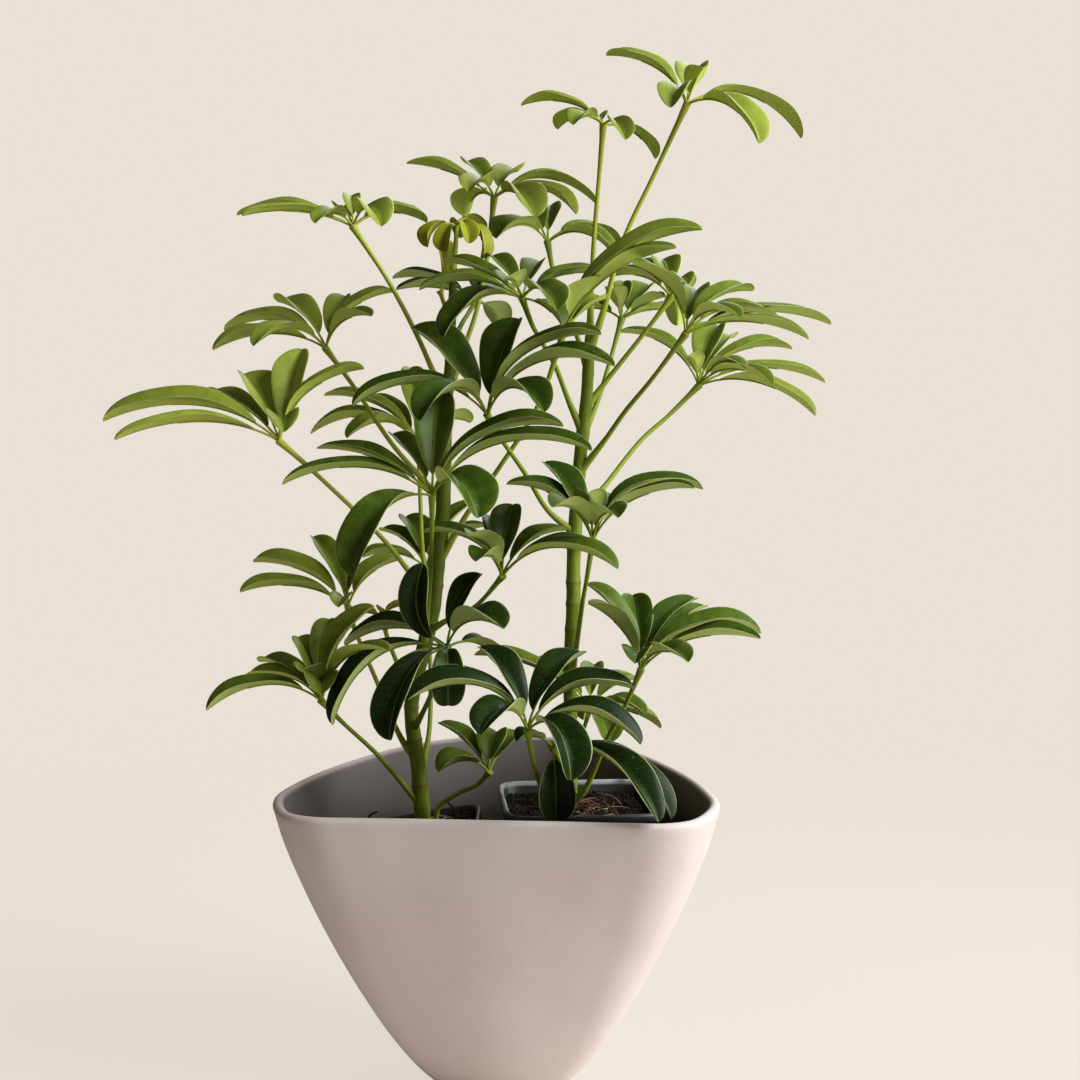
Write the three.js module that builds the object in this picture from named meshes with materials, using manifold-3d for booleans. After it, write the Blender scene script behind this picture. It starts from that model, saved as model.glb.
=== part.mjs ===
// A potted umbrella plant: two woody stems that carry long-stalked leaves, each leaf a ring of
// arched leaflets. The stems stand in two square nursery pots inside a tall ceramic planter,
// whose mouth is a triangle with round corners.
// Millimetres, +Z up. The origin is the middle of the planter's foot, on the surface that it
// stands on. The flat side of the planter looks along -Y.
import * as THREE from "three";
import { mergeVertices } from "three/addons/utils/BufferGeometryUtils.js";
import Module from "manifold-3d";

const wasm = await Module();
wasm.setup();

// Seats between touching pieces.
const SEAT_GAP = 0.3;

// Constants of the repeatable scatter.
const SCATTER_PITCH = 127.1;
const SCATTER_GAIN = 43758.5;

// Planter.
const PLANTER_WALL = 7;
const PLANTER_FLOOR = 9;
const PLANTER_SIDES = 34;
const LIP_ROUND = 2.3;
const FOOT_ROUNDNESS = 0.5;
// Height and half width of the outside, from the foot up to the lip.
const PLANTER_PROFILE = [
  [0, 44],
  [3, 47],
  [16, 59],
  [39, 75],
  [62, 88],
  [88, 101],
  [120, 115],
  [148, 125.5],
  [173, 133.5],
  [195.5, 138.5],
];
const PLANTER_HEIGHT = 198;
// Heights of the inside's rings, from the lip down, and how far the floor's edge is rounded.
const INSIDE_HEIGHTS = [195.5, 173, 140, 100, 62, 39, 18];
const FLOOR_ROUND = 6;
const MOUTH_HALF_WIDTH = 136;
// Right half of the mouth's outline, from the middle of the flat front round to the back corner.
const MOUTH_OUTLINE = [
  [0, -104],
  [46, -104],
  [80, -105],
  [108, -104],
  [125, -94],
  [136, -69],
  [139.5, -44],
  [134, -12],
  [124.5, 20],
  [109, 55.5],
  [90.5, 89.5],
  [71, 114],
  [51, 131],
  [27, 142],
  [0, 145],
];
// How many degrees the planter is turned about its upright axis, and the axis's place in X.
const PLANTER_TURN = -5.5;
const PLANTER_X = 1.6;

// Nursery pots: square with round corners, tapered, with a rolled rim.
const POT_SQUARENESS = 8;
const POT_SIDES = 24;
const POT_WALL = 2;
const POT_RIM_DEPTH = 6;
const POT_RIM_STEP = 1.6;
const POT_RIM_BEVEL = 1;
const POT_RIM_WALL = 1.4;
// soil is the level of the potting mix at the pot's wall, and heap how much higher its middle
// is. lean is how many degrees the pot leans to the left, about its middle.
const RIGHT_POT = {
  x: 50.5,
  y: -16,
  turn: 3.8,
  lean: 0,
  top: 191,
  bottom: 83.2,
  halfTop: 48.4,
  halfBottom: 37,
  soil: 183,
  heap: -3,
};
const LEFT_POT = {
  x: -53.5,
  y: -17,
  turn: -2,
  lean: 10,
  top: 169.5,
  bottom: 80,
  halfTop: 46.3,
  halfBottom: 37,
  soil: 164,
  heap: 6,
};

// Potting mix: its rings and the height of its lumps, whose waves are in radians per millimetre.
const SOIL_RINGS = [1, 0.72, 0.36];
const SOIL_LUMP = 1.1;
const LONG_WAVE = 0.31;
const WAVE_BEND = 0.17;
const SHORT_WAVE = 0.43;
const WAVE_SLANT = 0.12;

// Roots on the potting mix: half length, bends, and how far the middle rises and the ends sink.
const ROOT_SPREAD = 34;
const ROOT_REACH = 14;
const ROOT_REACH_SPREAD = 12;
const ROOT_BEND = 5;
const ROOT_RISE = 0.8;
const ROOT_SINK = 4;
const ROOT_POINTS = [-1, -0.4, 0.3, 1];
const ROOT_STEPS = 4;
const ROOT_SIDES = 3;
const RIGHT_ROOTS = { pot: RIGHT_POT, count: 4, seed: 1, step: 3.7, radius: 1.1 };
const LEFT_ROOTS = { pot: LEFT_POT, count: 2, seed: 2, step: 5.3, radius: 1 };

// Holes in the potting mix.
const HOLE_RISE = 12;
const HOLE_ROOM = 1.2;
const STEM_HOLE_FOOT = 6.5;
const STEM_HOLE_DEPTH = 2;

// Stems: middle line from the foot of the hole up to the tip, and radii up the stem.
const STEM_SIDES = 8;
const STEM_STEPS = 22;
const STEM_FOOT = 122;
const RIGHT_STEM = [
  [45, 0, STEM_FOOT],
  [46.5, 0, 170],
  [46.5, 0, 223],
  [46, 0, 276],
  [48, 0, 315],
  [48, 0, 341],
  [50, 0, 381],
  [52.5, 0, 414],
  [56, 0, 447],
  [57.5, 0, 473],
  [58.5, 0, 493],
];
const LEFT_STEM = [
  [-49, 0, STEM_FOOT],
  [-51, 0, 172],
  [-54, 0, 210],
  [-58, 0, 249],
  [-49, 0, 289],
  [-43.5, 0, 315],
  [-41, 0, 341],
  [-37.5, 0, 368],
  [-35.5, 0, 401],
  [-34, 0, 447],
  [-32, 0, 468],
  [-30.5, 0, 499],
  [-29.5, 0, 528],
];
const RIGHT_RADII = [4.1, 4.2, 4.1, 4.3, 4.7, 4.5, 4.4, 4.2, 3.9, 3.6, 3];
const LEFT_RADII = [5, 5.3, 4.9, 4.5, 4.9, 5, 5.3, 4.8, 4.3, 3.7, 3.4, 2.8, 2.2];

// Leaves: stalk, knot and leaflets.
const STALK_SIDES = 4;
const STALK_STEPS = 4;
const STALK_FOOT_RADIUS = 2.5;
const STALK_RADIUS = 1.6;
const STALK_END_RADIUS = 1.35;
const KNOT_RADIUS = 2.3;
const KNOT_DEPTH = 1.2;
// Radius of a stalk by the share of its length.
const STALK_TAPER = [
  [0, STALK_FOOT_RADIUS],
  [0.25, STALK_RADIUS],
  [0.75, STALK_END_RADIUS],
  [1, KNOT_RADIUS],
];
// A leaflet's own stalk: its length, the share of the arch it takes as well, and the most it can be.
const LEAFLET_STALK = 6;
const LEAFLET_STALK_SHARE = 0.1;
const LEAFLET_STALK_MOST = 0.26;
const LEAFLET_RIB_HALF = 0.8;
// Where the two handles of a leaflet's arch stand along its chord, and their height as a share
// of the arch.
const FIRST_HANDLE = { along: 0.3, height: 1.3 };
const SECOND_HANDLE = { along: 0.75, height: 0.85 };
const BLADE_FOLD = THREE.MathUtils.degToRad(38);
const LONG_LEAFLET = 60;
// Distance along the blade and width there, as shares of its length and of its full width.
const LONG_BLADE = [
  [0, 0.16],
  [0.22, 0.68],
  [0.6, 1],
  [0.88, 0.7],
];
const SHORT_BLADE = [
  [0, 0.18],
  [0.34, 0.84],
  [0.77, 0.94],
];

// Each leaf: its stalk's points from the stem's middle line out to the knot, and its leaflets.
// A leaflet is how far its tip lies from the knot, across, back and up, its width, how high it
// arches above the straight line to its tip (below it where negative), and how many degrees its
// face turns to the front.
const RIGHT_LEAVES = {
  leaf_right_01: {
    stalk: [[58, -1, 480], [66, -4, 503], [79, -3, 549], [98.5, -1, 591], [120, 0, 637]],
    leaflets: [
      [-50, 22, 33, 17, 12, 10],
      [-14, -44, -7, 19, 13, 0],
      [8, -22, 20, 14, 3, 0],
      [10, 48, 28, 21, 5, 0],
      [75, 14, -20, 19, 21, 10],
      [41, -38, -28, 24, 15, 0],
    ],
  },
  leaf_right_02: {
    stalk: [[58.4, 2, 488], [59, 4, 512], [61, 4, 552], [64, 2, 591], [66.5, 0, 624]],
    leaflets: [
      [-52, 10, 13, 15, 11, 10],
      [-20, -30, -3, 15, 7, 0],
      [-28, 30, 0, 16, 9, 0],
      [-3, 18, 7, 11, 3, 0],
      [12, -30, -12, 15, 8, 0],
      [34, 14, -20, 15, 9, 10],
    ],
  },
  leaf_right_03: {
    stalk: [[57.5, 0, 466], [49, 16, 494], [38, 36, 522], [32, 48, 552]],
    leaflets: [
      [-20, 40, 34, 20, 5, 0],
      [3, 44, 27, 16, 5, 0],
      [49, 20, -5, 17, 16, 10],
      [42, -16, -8, 18, 13, 5],
      [-34, -34, 1, 21, 13, 5],
    ],
  },
  leaf_right_04: {
    stalk: [[55.5, 0, 443], [69.5, 4, 461], [92, 8, 489], [112, 10, 515]],
    leaflets: [
      [8, -26, 8, 14, 9, 0],
      [-4, 32, 25, 19, 6, 0],
      [-37, 26, 14, 18, 9, 5],
      [-19, 40, 24, 15, 7, 0],
      [15, 38, 6, 15, 8, 0],
      [6, 26, -18, 16, 10, 0],
    ],
  },
  leaf_right_05: {
    stalk: [[53.5, 0, 428], [45, -3, 447], [35.5, -10, 471], [21, -30, 496], [14, -40, 514]],
    leaflets: [
      [-50, 30, 23, 15, 7, 10],
      [-64, 6, 5, 16, 11, 12],
      [-48, -28, -24, 20, 15, 10],
      [-20, 44, 27, 15, 5, 0],
      [12, 46, 24, 15, 5, 0],
      [53, 24, 14, 16, 10, 8],
      [20, -42, -8, 21, 12, 0],
      [24, -12, -17, 16, 5, 0],
      [-12, -34, 10, 18, 6, 0],
    ],
  },
  leaf_right_06: {
    stalk: [[53.8, 0, 425], [64, 14, 447], [71, 30, 466], [82, 52, 501]],
    leaflets: [
      [3, 24, 26, 12, 3, 0],
      [23, 34, 23, 20, 3, 0],
      [28, -14, 15, 15, 3, 0],
      [32, 14, 6, 15, 4, 0],
      [-8, -26, 20, 14, 3, 0],
      [-30, 24, 6, 18, 6, 0],
    ],
  },
  leaf_right_07: {
    stalk: [[52, 0, 402], [67.5, -10, 423], [80, -20, 442], [95.5, -34, 462.5], [115.6, -50, 491.6]],
    leaflets: [
      [-34, -18, 42, 18, 13, 15],
      [11, 42, 28, 22, 6, 0],
      [45, 28, 27, 17, 12, 8],
      [60, 6, 6, 16, 16, 8],
      [74, -16, -3, 15, 12, 5],
      [95, 30, 6, 16, 14, 8],
      [29, -40, 10, 14, 12, 0],
    ],
  },
  leaf_right_08: {
    stalk: [[49.5, 0, 372], [66.5, 9, 389.5], [94, 26, 421.5], [111.5, 35, 436], [134, 45, 457]],
    leaflets: [
      [-52, 30, 35, 15, 14, 8],
      [-10, -22, 20, 14, 6, 0],
      [17, 38, 40, 21, 8, 0],
      [29, 46, 32, 17, 9, 0],
      [64, 14, 24, 17, 15, 10],
      [27, -32, 12, 15, 10, 0],
      [84, -4, 2, 15, 14, 8],
      [43, -44, 1, 15, 14, 0],
      [74, -26, -19, 17, 15, 5],
    ],
  },
  leaf_right_09: {
    stalk: [[48.8, 0, 362], [31, -8, 378], [16, -20, 403], [-2, -33, 430], [-8, -38, 441.5]],
    leaflets: [
      [-48, 20, 54, 28, 7, 20],
      [20, 28, 60, 25, 6, 0],
      [-83, -12, 6, 20, 22, 10],
      [-40, -50, -1, 23, 22, 0],
      [70, -20, 50, 20, 22, 12],
      [77, -38, 31, 20, 24, 10],
      [34, -54, 4, 23, 20, 0],
    ],
  },
  leaf_right_10: {
    stalk: [[46, 0, 254], [49.5, -24, 294], [52, -44, 322], [54.5, -60, 343], [57.3, -70, 365.7]],
    leaflets: [
      [-53, 10, 34, 16, 14, 10],
      [-30, 32, 46, 21, 6, 0],
      [-5, -22, 31, 20, 6, 0],
      [13, -40, 18, 20, 12, 0],
      [68, 6, 31, 18, 22, 10],
      [60, -22, 34, 15, 14, 5],
      [-26, -36, 24, 19, 11, 5],
      [18, 44, 22, 16, 10, 0],
    ],
  },
  leaf_right_11: {
    stalk: [[46.6, 0, 208], [52, 22, 216], [61.6, 55, 235]],
    leaflets: [
      [-79, 14, 36, 17, 14, 8],
      [-40, 40, 27, 17, 10, 0],
      [5, 44, 24, 16, 8, 0],
      [35, 28, 16, 18, 8, 5],
      [36, -24, 1, 16, 10, 0],
      [49, 6, -14, 15, 8, 5],
      [12, -30, -16, 20, 9, 0],
      [-3, 36, -14, 15, 10, 0],
    ],
  },
  leaf_right_12: {
    stalk: [[46.5, 0, 184], [54.5, -8, 192.5], [70, -27, 234], [78.5, -38, 253], [89, -48, 281]],
    leaflets: [
      [-34, 14, 53, 16, 10, 10],
      [-34, -18, 45, 18, 9, 5],
      [-3, 36, 43, 20, 7, 0],
      [38, 30, 41, 18, 12, 5],
      [46, 44, 34, 16, 10, 5],
      [76, 2, 23, 22, 20, 10],
      [72, -26, 24, 17, 14, 8],
      [26, -40, 12, 19, 12, 0],
      [-6, -38, 11, 18, 11, 0],
    ],
  },
  leaf_right_13: {
    stalk: [[46.5, 0, 182], [44, -22, 197], [38, -46, 220], [32, -62, 235]],
    leaflets: [
      [2, -18, -42, 22, 10, 0],
      [-22, -12, 6, 15, 6, 0],
      [62, -60, -33, 23, 20, 0],
      [72, -34, -38, 21, 19, 5],
    ],
  },
};

const LEFT_LEAVES = {
  leaf_left_01: {
    stalk: [[-31, 0, 476], [-26, 22, 494], [-20, 45, 505], [-15.3, 58, 513]],
    leaflets: [
      [-56, 10, 15, 16, 9, 8],
      [-52, -16, 7, 15, 7, 5],
      [14, 20, -18, 22, 6, 0],
      [1, 38, 21, 15, 3, 0],
      [23, 34, 4, 16, 7, 0],
    ],
  },
  leaf_left_02: {
    stalk: [[-34, 0, 448], [-23, 12, 481], [-15, 24, 505], [-8, 36, 539], [-3, 45, 581]],
    leaflets: [
      [-58, 10, 23, 16, 7, 10],
      [-20, 38, 26, 17, 5, 0],
      [-16, -40, 1, 19, 11, 0],
      [-19, 20, -11, 21, 11, 0],
      [16, 36, 20, 20, 6, 0],
      [68, 16, -3, 16, 19, 10],
      [53, -24, -12, 16, 15, 8],
      [26, -42, -15, 24, 12, 0],
    ],
  },
  leaf_left_03: {
    stalk: [[-34, 0, 446], [-43.7, -5, 470], [-53.5, -9, 492.5], [-70, -12, 524], [-92.5, -15, 559]],
    leaflets: [
      [-75, 18, 8, 16, 10, 10],
      [-66, -28, 5, 14, 8, 8],
      [-20, -40, 0, 14, 9, 0],
      [-12, 40, 13, 14, 5, 0],
      [-3, 26, 21, 11, 4, 0],
      [20, -42, -2, 21, 14, 0],
      [46, 10, 3, 18, 10, 10],
      [38, 40, 8, 15, 9, 5],
    ],
  },
  leaf_left_04: {
    stalk: [[-36.5, 0, 382], [-53, 4, 400.5], [-70, 10, 420], [-96, 24, 457.5], [-115, 36, 482]],
    leaflets: [
      [-68, 16, 11, 20, 17, 12],
      [-72, -15, -1, 19, 13, 8],
      [-42, -44, 2, 17, 15, 5],
      [-36, 42, 31, 22, 9, 0],
      [10, 40, 35, 16, 5, 0],
      [44, 12, 37, 16, 12, 10],
      [32, -26, 21, 16, 11, 5],
    ],
  },
  leaf_left_05: {
    stalk: [[-41, 0, 340], [-20, -6, 377], [0, -13, 406], [24, -24, 445], [41, -35, 494]],
    leaflets: [
      [21, -17, 33, 22, 3, 18],
      [85, -10, 62, 22, 21, 20],
      [67, -30, 50, 20, 14, 12],
      [27, 25, 20, 16, 4, 0],
      [-12, 28, 16, 16, 6, 0],
    ],
  },
  leaf_left_06: {
    stalk: [[-43.5, 0, 316], [-58.5, -7, 338], [-77, -16, 363], [-116.5, -30, 404], [-138.8, -35, 425]],
    leaflets: [
      [-111, 8, 12, 25, 21, 15],
      [-98, -24, 2, 17, 15, 8],
      [-52, 50, 28, 18, 8, 0],
      [-26, 34, 41, 26, 5, 0],
      [12, 34, 57, 22, 3, 0],
      [13, 50, 35, 16, 6, 0],
      [54, -6, 45, 17, 15, 12],
      [8, -46, 8, 20, 13, 0],
    ],
  },
  leaf_left_07: {
    stalk: [[-43.5, 0, 313], [-50.5, 22, 343], [-53, 42, 381], [-54.4, 55, 418.5]],
    leaflets: [
      [-73, 8, 6, 17, 19, 10],
      [-46, -26, 5, 17, 16, 5],
      [-37, 38, 29, 15, 9, 0],
      [-65, 24, 31, 15, 14, 8],
      [-7, 38, 50, 18, 6, 0],
      [34, 34, 12, 19, 11, 0],
    ],
  },
  leaf_left_08: {
    stalk: [[-46.5, 0, 298], [-32, -18, 309], [-16, -36, 319], [2, -60, 342]],
    leaflets: [
      [-49, 14, 26, 15, 14, 10],
      [-21, -25, 28, 20, 7, 0],
      [-8, 34, 35, 15, 6, 0],
      [7, 22, 43, 19, 6, 0],
      [41, 26, 26, 15, 11, 5],
      [70, -28, 8, 18, 20, 8],
      [68, 12, 10, 16, 18, 5],
      [-16, -30, 13, 17, 10, 0],
    ],
  },
  leaf_left_09: {
    stalk: [[-49.5, 0, 287], [-46.5, -18, 312], [-43.3, -42, 347], [-41.8, -60, 374], [-41.2, -72, 394]],
    leaflets: [
      [-92, 8, 6, 16, 18, 10],
      [-72, 26, 27, 16, 11, 8],
      [-27, 36, 35, 17, 7, 0],
      [5, 30, 62, 24, 6, 0],
      [-45, -44, -44, 27, 21, 5],
      [80, -4, 42, 20, 22, 12],
      [96, -30, 29, 18, 24, 12],
      [28, -40, -10, 30, 20, 0],
    ],
  },
  leaf_left_10: {
    stalk: [[-57, 0, 233], [-51.5, -12, 244], [-43.3, -33, 264], [-32.5, -60, 298]],
    leaflets: [
      [-64, 13, -1, 22, 15, 8],
      [-70, -14, -46, 22, 25, 8],
      [-34, -36, -51, 24, 18, 5],
      [-14, -6, 53, 18, -15, 130],
      [21, 24, 43, 16, 8, 5],
      [35, -30, 16, 26, 14, 0],
      [1, -24, -32, 20, 18, 0],
      [-26, 22, -30, 15, 10, 0],
      [34, 22, -18, 18, 12, 5],
    ],
  },
  leaf_left_11: {
    stalk: [[-54, 0, 211], [-64.5, 4, 225], [-82, 12, 264.5], [-97, 17, 300], [-100.4, 18, 312.4]],
    leaflets: [
      [-64, 18, 28, 21, 12, 12],
      [-69, -14, 12, 18, 12, 8],
      [-26, 36, 43, 17, 7, 0],
      [-5, 44, 32, 15, 7, 0],
      [33, 18, 29, 19, 9, 5],
      [-4, -28, 4, 14, 8, 0],
      [-14, 52, 20, 15, 10, 0],
    ],
  },
  leaf_left_12: {
    stalk: [[-53.5, 0, 198], [-47.5, 24, 226], [-47, 44, 264], [-49, 60, 302], [-50, 68, 331.6]],
    leaflets: [
      [-16, 30, 33, 21, 7, 0],
      [-33, 24, 24, 16, 8, 5],
      [-43, -10, 9, 15, 9, 5],
      [32, 22, 44, 16, 8, 5],
      [41, -8, 30, 14, 9, 5],
      [8, 44, 8, 19, 12, 0],
    ],
  },
  leaf_left_13: {
    stalk: [[-52, 0, 182], [-64.5, -5, 198.5], [-80.5, -17, 221], [-101, -31, 244.5], [-113.5, -42, 260.8]],
    leaflets: [
      [-71, -10, -4, 18, 17, 8],
      [-50, 18, 10, 17, 12, 8],
      [-44, 42, 18, 16, 10, 5],
      [-17, 26, 37, 21, 6, 0],
      [-11, -26, 24, 18, 7, 0],
      [2, 36, 47, 18, 6, 0],
      [33, 16, 58, 20, 12, 8],
      [3, -36, 11, 20, 13, 0],
      [46, -56, 41, 15, 17, 5],
    ],
  },
  leaf_left_14: {
    stalk: [[-31.5, 1, 504], [-35, 5, 509.5], [-38, 9, 518]],
    leaflets: [[-3, 2, 35, 18, 4, 0]],
  },
  sprout_left: {
    stalk: [[-57, 0, 256], [-66, 8, 272], [-74, 11, 292], [-77, 12, 305]],
    leaflets: [
      [-17, 2, 3, 10, 4, 0],
      [2, -10, 8, 10, 3, 0],
      [15, 3, 7, 10, 6, 0],
    ],
  },
};

// Leaves whose stalk stands in the potting mix.
const SOIL_LEAVES = {
  leaf_soil_right: {
    stalk: [[37, -38, 150], [37, -38, 184], [27, -60, 204.5], [20, -78, 231], [16.5, -90, 251.5]],
    leaflets: [
      [-72, -14, 22, 22, 24, 12],
      [-28, -40, 6, 24, 17, 0],
      [-30, 26, 47, 22, 9, 0],
      [36, 32, 42, 23, 11, 0],
      [65, 8, 24, 21, 18, 10],
      [68, -14, -6, 21, 20, 8],
      [25, -38, -22, 24, 24, 0],
    ],
  },
  leaf_soil_left: {
    stalk: [[-41, -8, 162], [-41, -8, 181], [-28, -14, 193], [-15, -23, 201], [-6.5, -30, 211.5]],
    leaflets: [
      [-32, -12, 3, 19, 10, 5],
      [-33, 20, 28, 15, 6, 0],
      [5, 18, 23, 19, 7, 0],
      [22, 22, 20, 15, 6, 5],
      [-6, 34, 14, 14, 7, 0],
    ],
  },
};

// The pale young crown grows straight on from the tip of the left stem.
const CROWN = {
  stalk: [[-29.5, 0, 529], [-28, 2, 544], [-27, 5, 561]],
  leaflets: [
    [-18, -8, -14, 15, 9, 5],
    [-7, -13, -17, 12, 9, 0],
    [8, -18, -12, 12, 9, 0],
    [15, -6, -21, 14, 12, 5],
    [2, 22, -7, 13, 8, 0],
    [14, 16, -6, 12, 10, 0],
  ],
};

const vector = ([x, y, z]) => new THREE.Vector3(x, y, z);
const up = new THREE.Vector3(0, 0, 1);
const SECTION_START = new THREE.Vector3(0.37, 0.93, 0);

// A closed surface through sections of equal point count. A section of one point is a tip.
// mirrored lists the sides whose diagonal runs the other way, so that both faces of a thin
// blade split alike.
function loft(sections, mirrored = []) {
  const positions = [];
  const starts = sections.map((section) => {
    const start = positions.length / 3;
    section.forEach((point) => positions.push(point.x, point.y, point.z));
    return start;
  });
  const index = [];
  for (let i = 0; i + 1 < sections.length; i += 1) {
    const here = sections[i].length;
    const next = sections[i + 1].length;
    const sides = Math.max(here, next);
    for (let j = 0; j < sides; j += 1) {
      const k = (j + 1) % sides;
      const a = starts[i] + (here > 1 ? j : 0);
      const b = starts[i] + (here > 1 ? k : 0);
      const c = starts[i + 1] + (next > 1 ? k : 0);
      const d = starts[i + 1] + (next > 1 ? j : 0);
      if (here === 1) index.push(a, c, d);
      else if (next === 1) index.push(a, b, c);
      else if (mirrored.includes(j)) index.push(a, b, d, b, c, d);
      else index.push(a, b, c, a, c, d);
    }
  }
  const cap = (start, count, reverse) => {
    for (let j = 1; j + 1 < count; j += 1) {
      const turned = reverse ? [0, j + 1, j] : [0, j, j + 1];
      turned.forEach((point) => index.push(start + point));
    }
  };
  cap(starts[0], sections[0].length, true);
  cap(starts.at(-1), sections.at(-1).length, false);
  let volume = 0;
  const corner = (i) => new THREE.Vector3().fromArray(positions, index[i] * 3);
  for (let i = 0; i < index.length; i += 3) {
    volume += corner(i).dot(corner(i + 1).cross(corner(i + 2)));
  }
  if (volume < 0) index.reverse();
  return new THREE.BufferGeometry()
    .setAttribute("position", new THREE.Float32BufferAttribute(positions, 3))
    .setIndex(index);
}

// A closed geometry as a solid that can be joined and cut.
function solidOf(geometry) {
  const bare = geometry.clone();
  bare.deleteAttribute("normal");
  bare.deleteAttribute("uv");
  const merged = mergeVertices(bare, 1e-4);
  const mesh = new wasm.Mesh({
    numProp: 3,
    vertProperties: new Float32Array(merged.attributes.position.array),
    triVerts: new Uint32Array(merged.index.array),
  });
  return new wasm.Manifold(mesh);
}

function geometryOf(solid) {
  const mesh = solid.getMesh();
  const geometry = new THREE.BufferGeometry()
    .setAttribute("position", new THREE.BufferAttribute(mesh.vertProperties, 3))
    .setIndex(new THREE.BufferAttribute(mesh.triVerts, 1));
  geometry.computeVertexNormals();
  return geometry;
}

const joined = (solids) => solids.reduce((whole, next) => whole.add(next));

function sub(name, geometry, material) {
  const mesh = new THREE.Mesh(geometry, material);
  mesh.name = name;
  return mesh;
}

// A value between listed pairs of place and value.
function between(pairs, place) {
  const after = pairs.findIndex(([at]) => at >= place);
  if (after <= 0) return pairs[after === 0 ? 0 : pairs.length - 1][1];
  const [[fromAt, from], [toAt, to]] = [pairs[after - 1], pairs[after]];
  return THREE.MathUtils.mapLinear(place, fromAt, toAt, from, to);
}

// Repeatable scatter between 0 and 1.
function scatter(seed) {
  const wave = Math.sin(seed * SCATTER_PITCH) * SCATTER_GAIN;
  return wave - Math.floor(wave);
}

// Planter: the mouth's outline shrinks and grows rounder towards the foot.
function mouthCurve() {
  const rightHalf = MOUTH_OUTLINE.map(([x, y]) => new THREE.Vector3(x, y, 0));
  const leftHalf = MOUTH_OUTLINE.slice(1, -1).reverse().map(([x, y]) => new THREE.Vector3(-x, y, 0));
  return new THREE.CatmullRomCurve3([...rightHalf, ...leftHalf], true);
}

const MOUTH_RING = mouthCurve().getSpacedPoints(PLANTER_SIDES).slice(0, PLANTER_SIDES);

function planterRing(height, inset) {
  const halfWidth = between(PLANTER_PROFILE, height);
  const roundness = FOOT_ROUNDNESS * (1 - height / PLANTER_HEIGHT);
  const ring = MOUTH_RING.map((point) => {
    const scaled = point.clone().multiplyScalar(halfWidth / MOUTH_HALF_WIDTH);
    const round = point.clone().setLength(halfWidth);
    return scaled.lerp(round, roundness).setZ(height);
  });
  return ring.map((point, i) => {
    const before = ring.at(i - 1);
    const after = ring[(i + 1) % ring.length];
    const outward = after.clone().sub(before).cross(up).normalize();
    return point.clone().addScaledVector(outward, -inset);
  });
}

function planter() {
  const outside = PLANTER_PROFILE.map(([height]) => planterRing(height, 0));
  const lip = [LIP_ROUND, PLANTER_WALL - LIP_ROUND].map((inset) =>
    planterRing(PLANTER_HEIGHT, inset),
  );
  const inside = INSIDE_HEIGHTS.map((height) => planterRing(height, PLANTER_WALL));
  const floorRing = planterRing(INSIDE_HEIGHTS.at(-1), PLANTER_WALL + FLOOR_ROUND).map((point) =>
    point.setZ(PLANTER_FLOOR),
  );
  return loft([...outside, ...lip, ...inside, floorRing])
    .rotateZ(THREE.MathUtils.degToRad(PLANTER_TURN))
    .translate(PLANTER_X, 0, 0);
}

// One ring of a square pot with round corners.
function potRing(pot, half, height) {
  return Array.from({ length: POT_SIDES }, (_, i) => {
    const angle = (i / POT_SIDES) * 2 * Math.PI;
    const cosine = Math.abs(Math.cos(angle)) ** POT_SQUARENESS;
    const sine = Math.abs(Math.sin(angle)) ** POT_SQUARENESS;
    const reach = half / (cosine + sine) ** (1 / POT_SQUARENESS);
    const turned = angle + THREE.MathUtils.degToRad(pot.turn);
    return vector([
      pot.x + reach * Math.cos(turned),
      pot.y + reach * Math.sin(turned),
      height,
    ]);
  });
}

function potHalf(pot, height) {
  return THREE.MathUtils.mapLinear(height, pot.bottom, pot.top, pot.halfBottom, pot.halfTop);
}

// Leans what belongs to a pot to the left, as the pot stands.
function leaned(pot, geometry) {
  const middle = (pot.bottom + pot.top) / 2;
  return geometry
    .translate(-pot.x, -pot.y, -middle)
    .rotateY(-THREE.MathUtils.degToRad(pot.lean))
    .translate(pot.x, pot.y, middle);
}

function growPot(pot) {
  const rimFoot = pot.top - POT_RIM_DEPTH;
  const floor = pot.bottom + POT_WALL;
  const shell = loft([
    potRing(pot, pot.halfBottom, pot.bottom),
    potRing(pot, potHalf(pot, rimFoot), rimFoot),
    potRing(pot, pot.halfTop + POT_RIM_STEP, rimFoot),
    potRing(pot, pot.halfTop + POT_RIM_STEP, pot.top - POT_RIM_BEVEL),
    potRing(pot, pot.halfTop + POT_RIM_STEP - POT_RIM_BEVEL, pot.top),
    potRing(pot, pot.halfTop - POT_RIM_WALL, pot.top),
    potRing(pot, potHalf(pot, rimFoot) - POT_WALL, rimFoot),
    potRing(pot, potHalf(pot, floor) - POT_WALL, floor),
  ]);
  return leaned(pot, shell);
}

// Potting mix: a plug that fills the pot, with a heaped and lumpy top.
function soil(pot) {
  const floor = pot.bottom + POT_WALL + SEAT_GAP;
  const inner = (height) => potHalf(pot, height) - POT_WALL - SEAT_GAP;
  const lumps = (x, y) => {
    const long = Math.sin(x * LONG_WAVE + Math.sin(y * WAVE_BEND));
    const short = Math.sin(y * SHORT_WAVE - x * WAVE_SLANT);
    return SOIL_LUMP * (long + short);
  };
  const surface = SOIL_RINGS.map((share) =>
    potRing(pot, inner(pot.soil) * share, pot.soil).map((point) => {
      const heap = pot.heap * (1 - share ** 2);
      const lump = share < 1 ? lumps(point.x, point.y) : 0;
      return point.setZ(pot.soil + heap + lump);
    }),
  );
  const middle = [vector([pot.x, pot.y, pot.soil + pot.heap])];
  return solidOf(leaned(pot, loft([potRing(pot, inner(floor), floor), ...surface, middle])));
}

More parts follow.
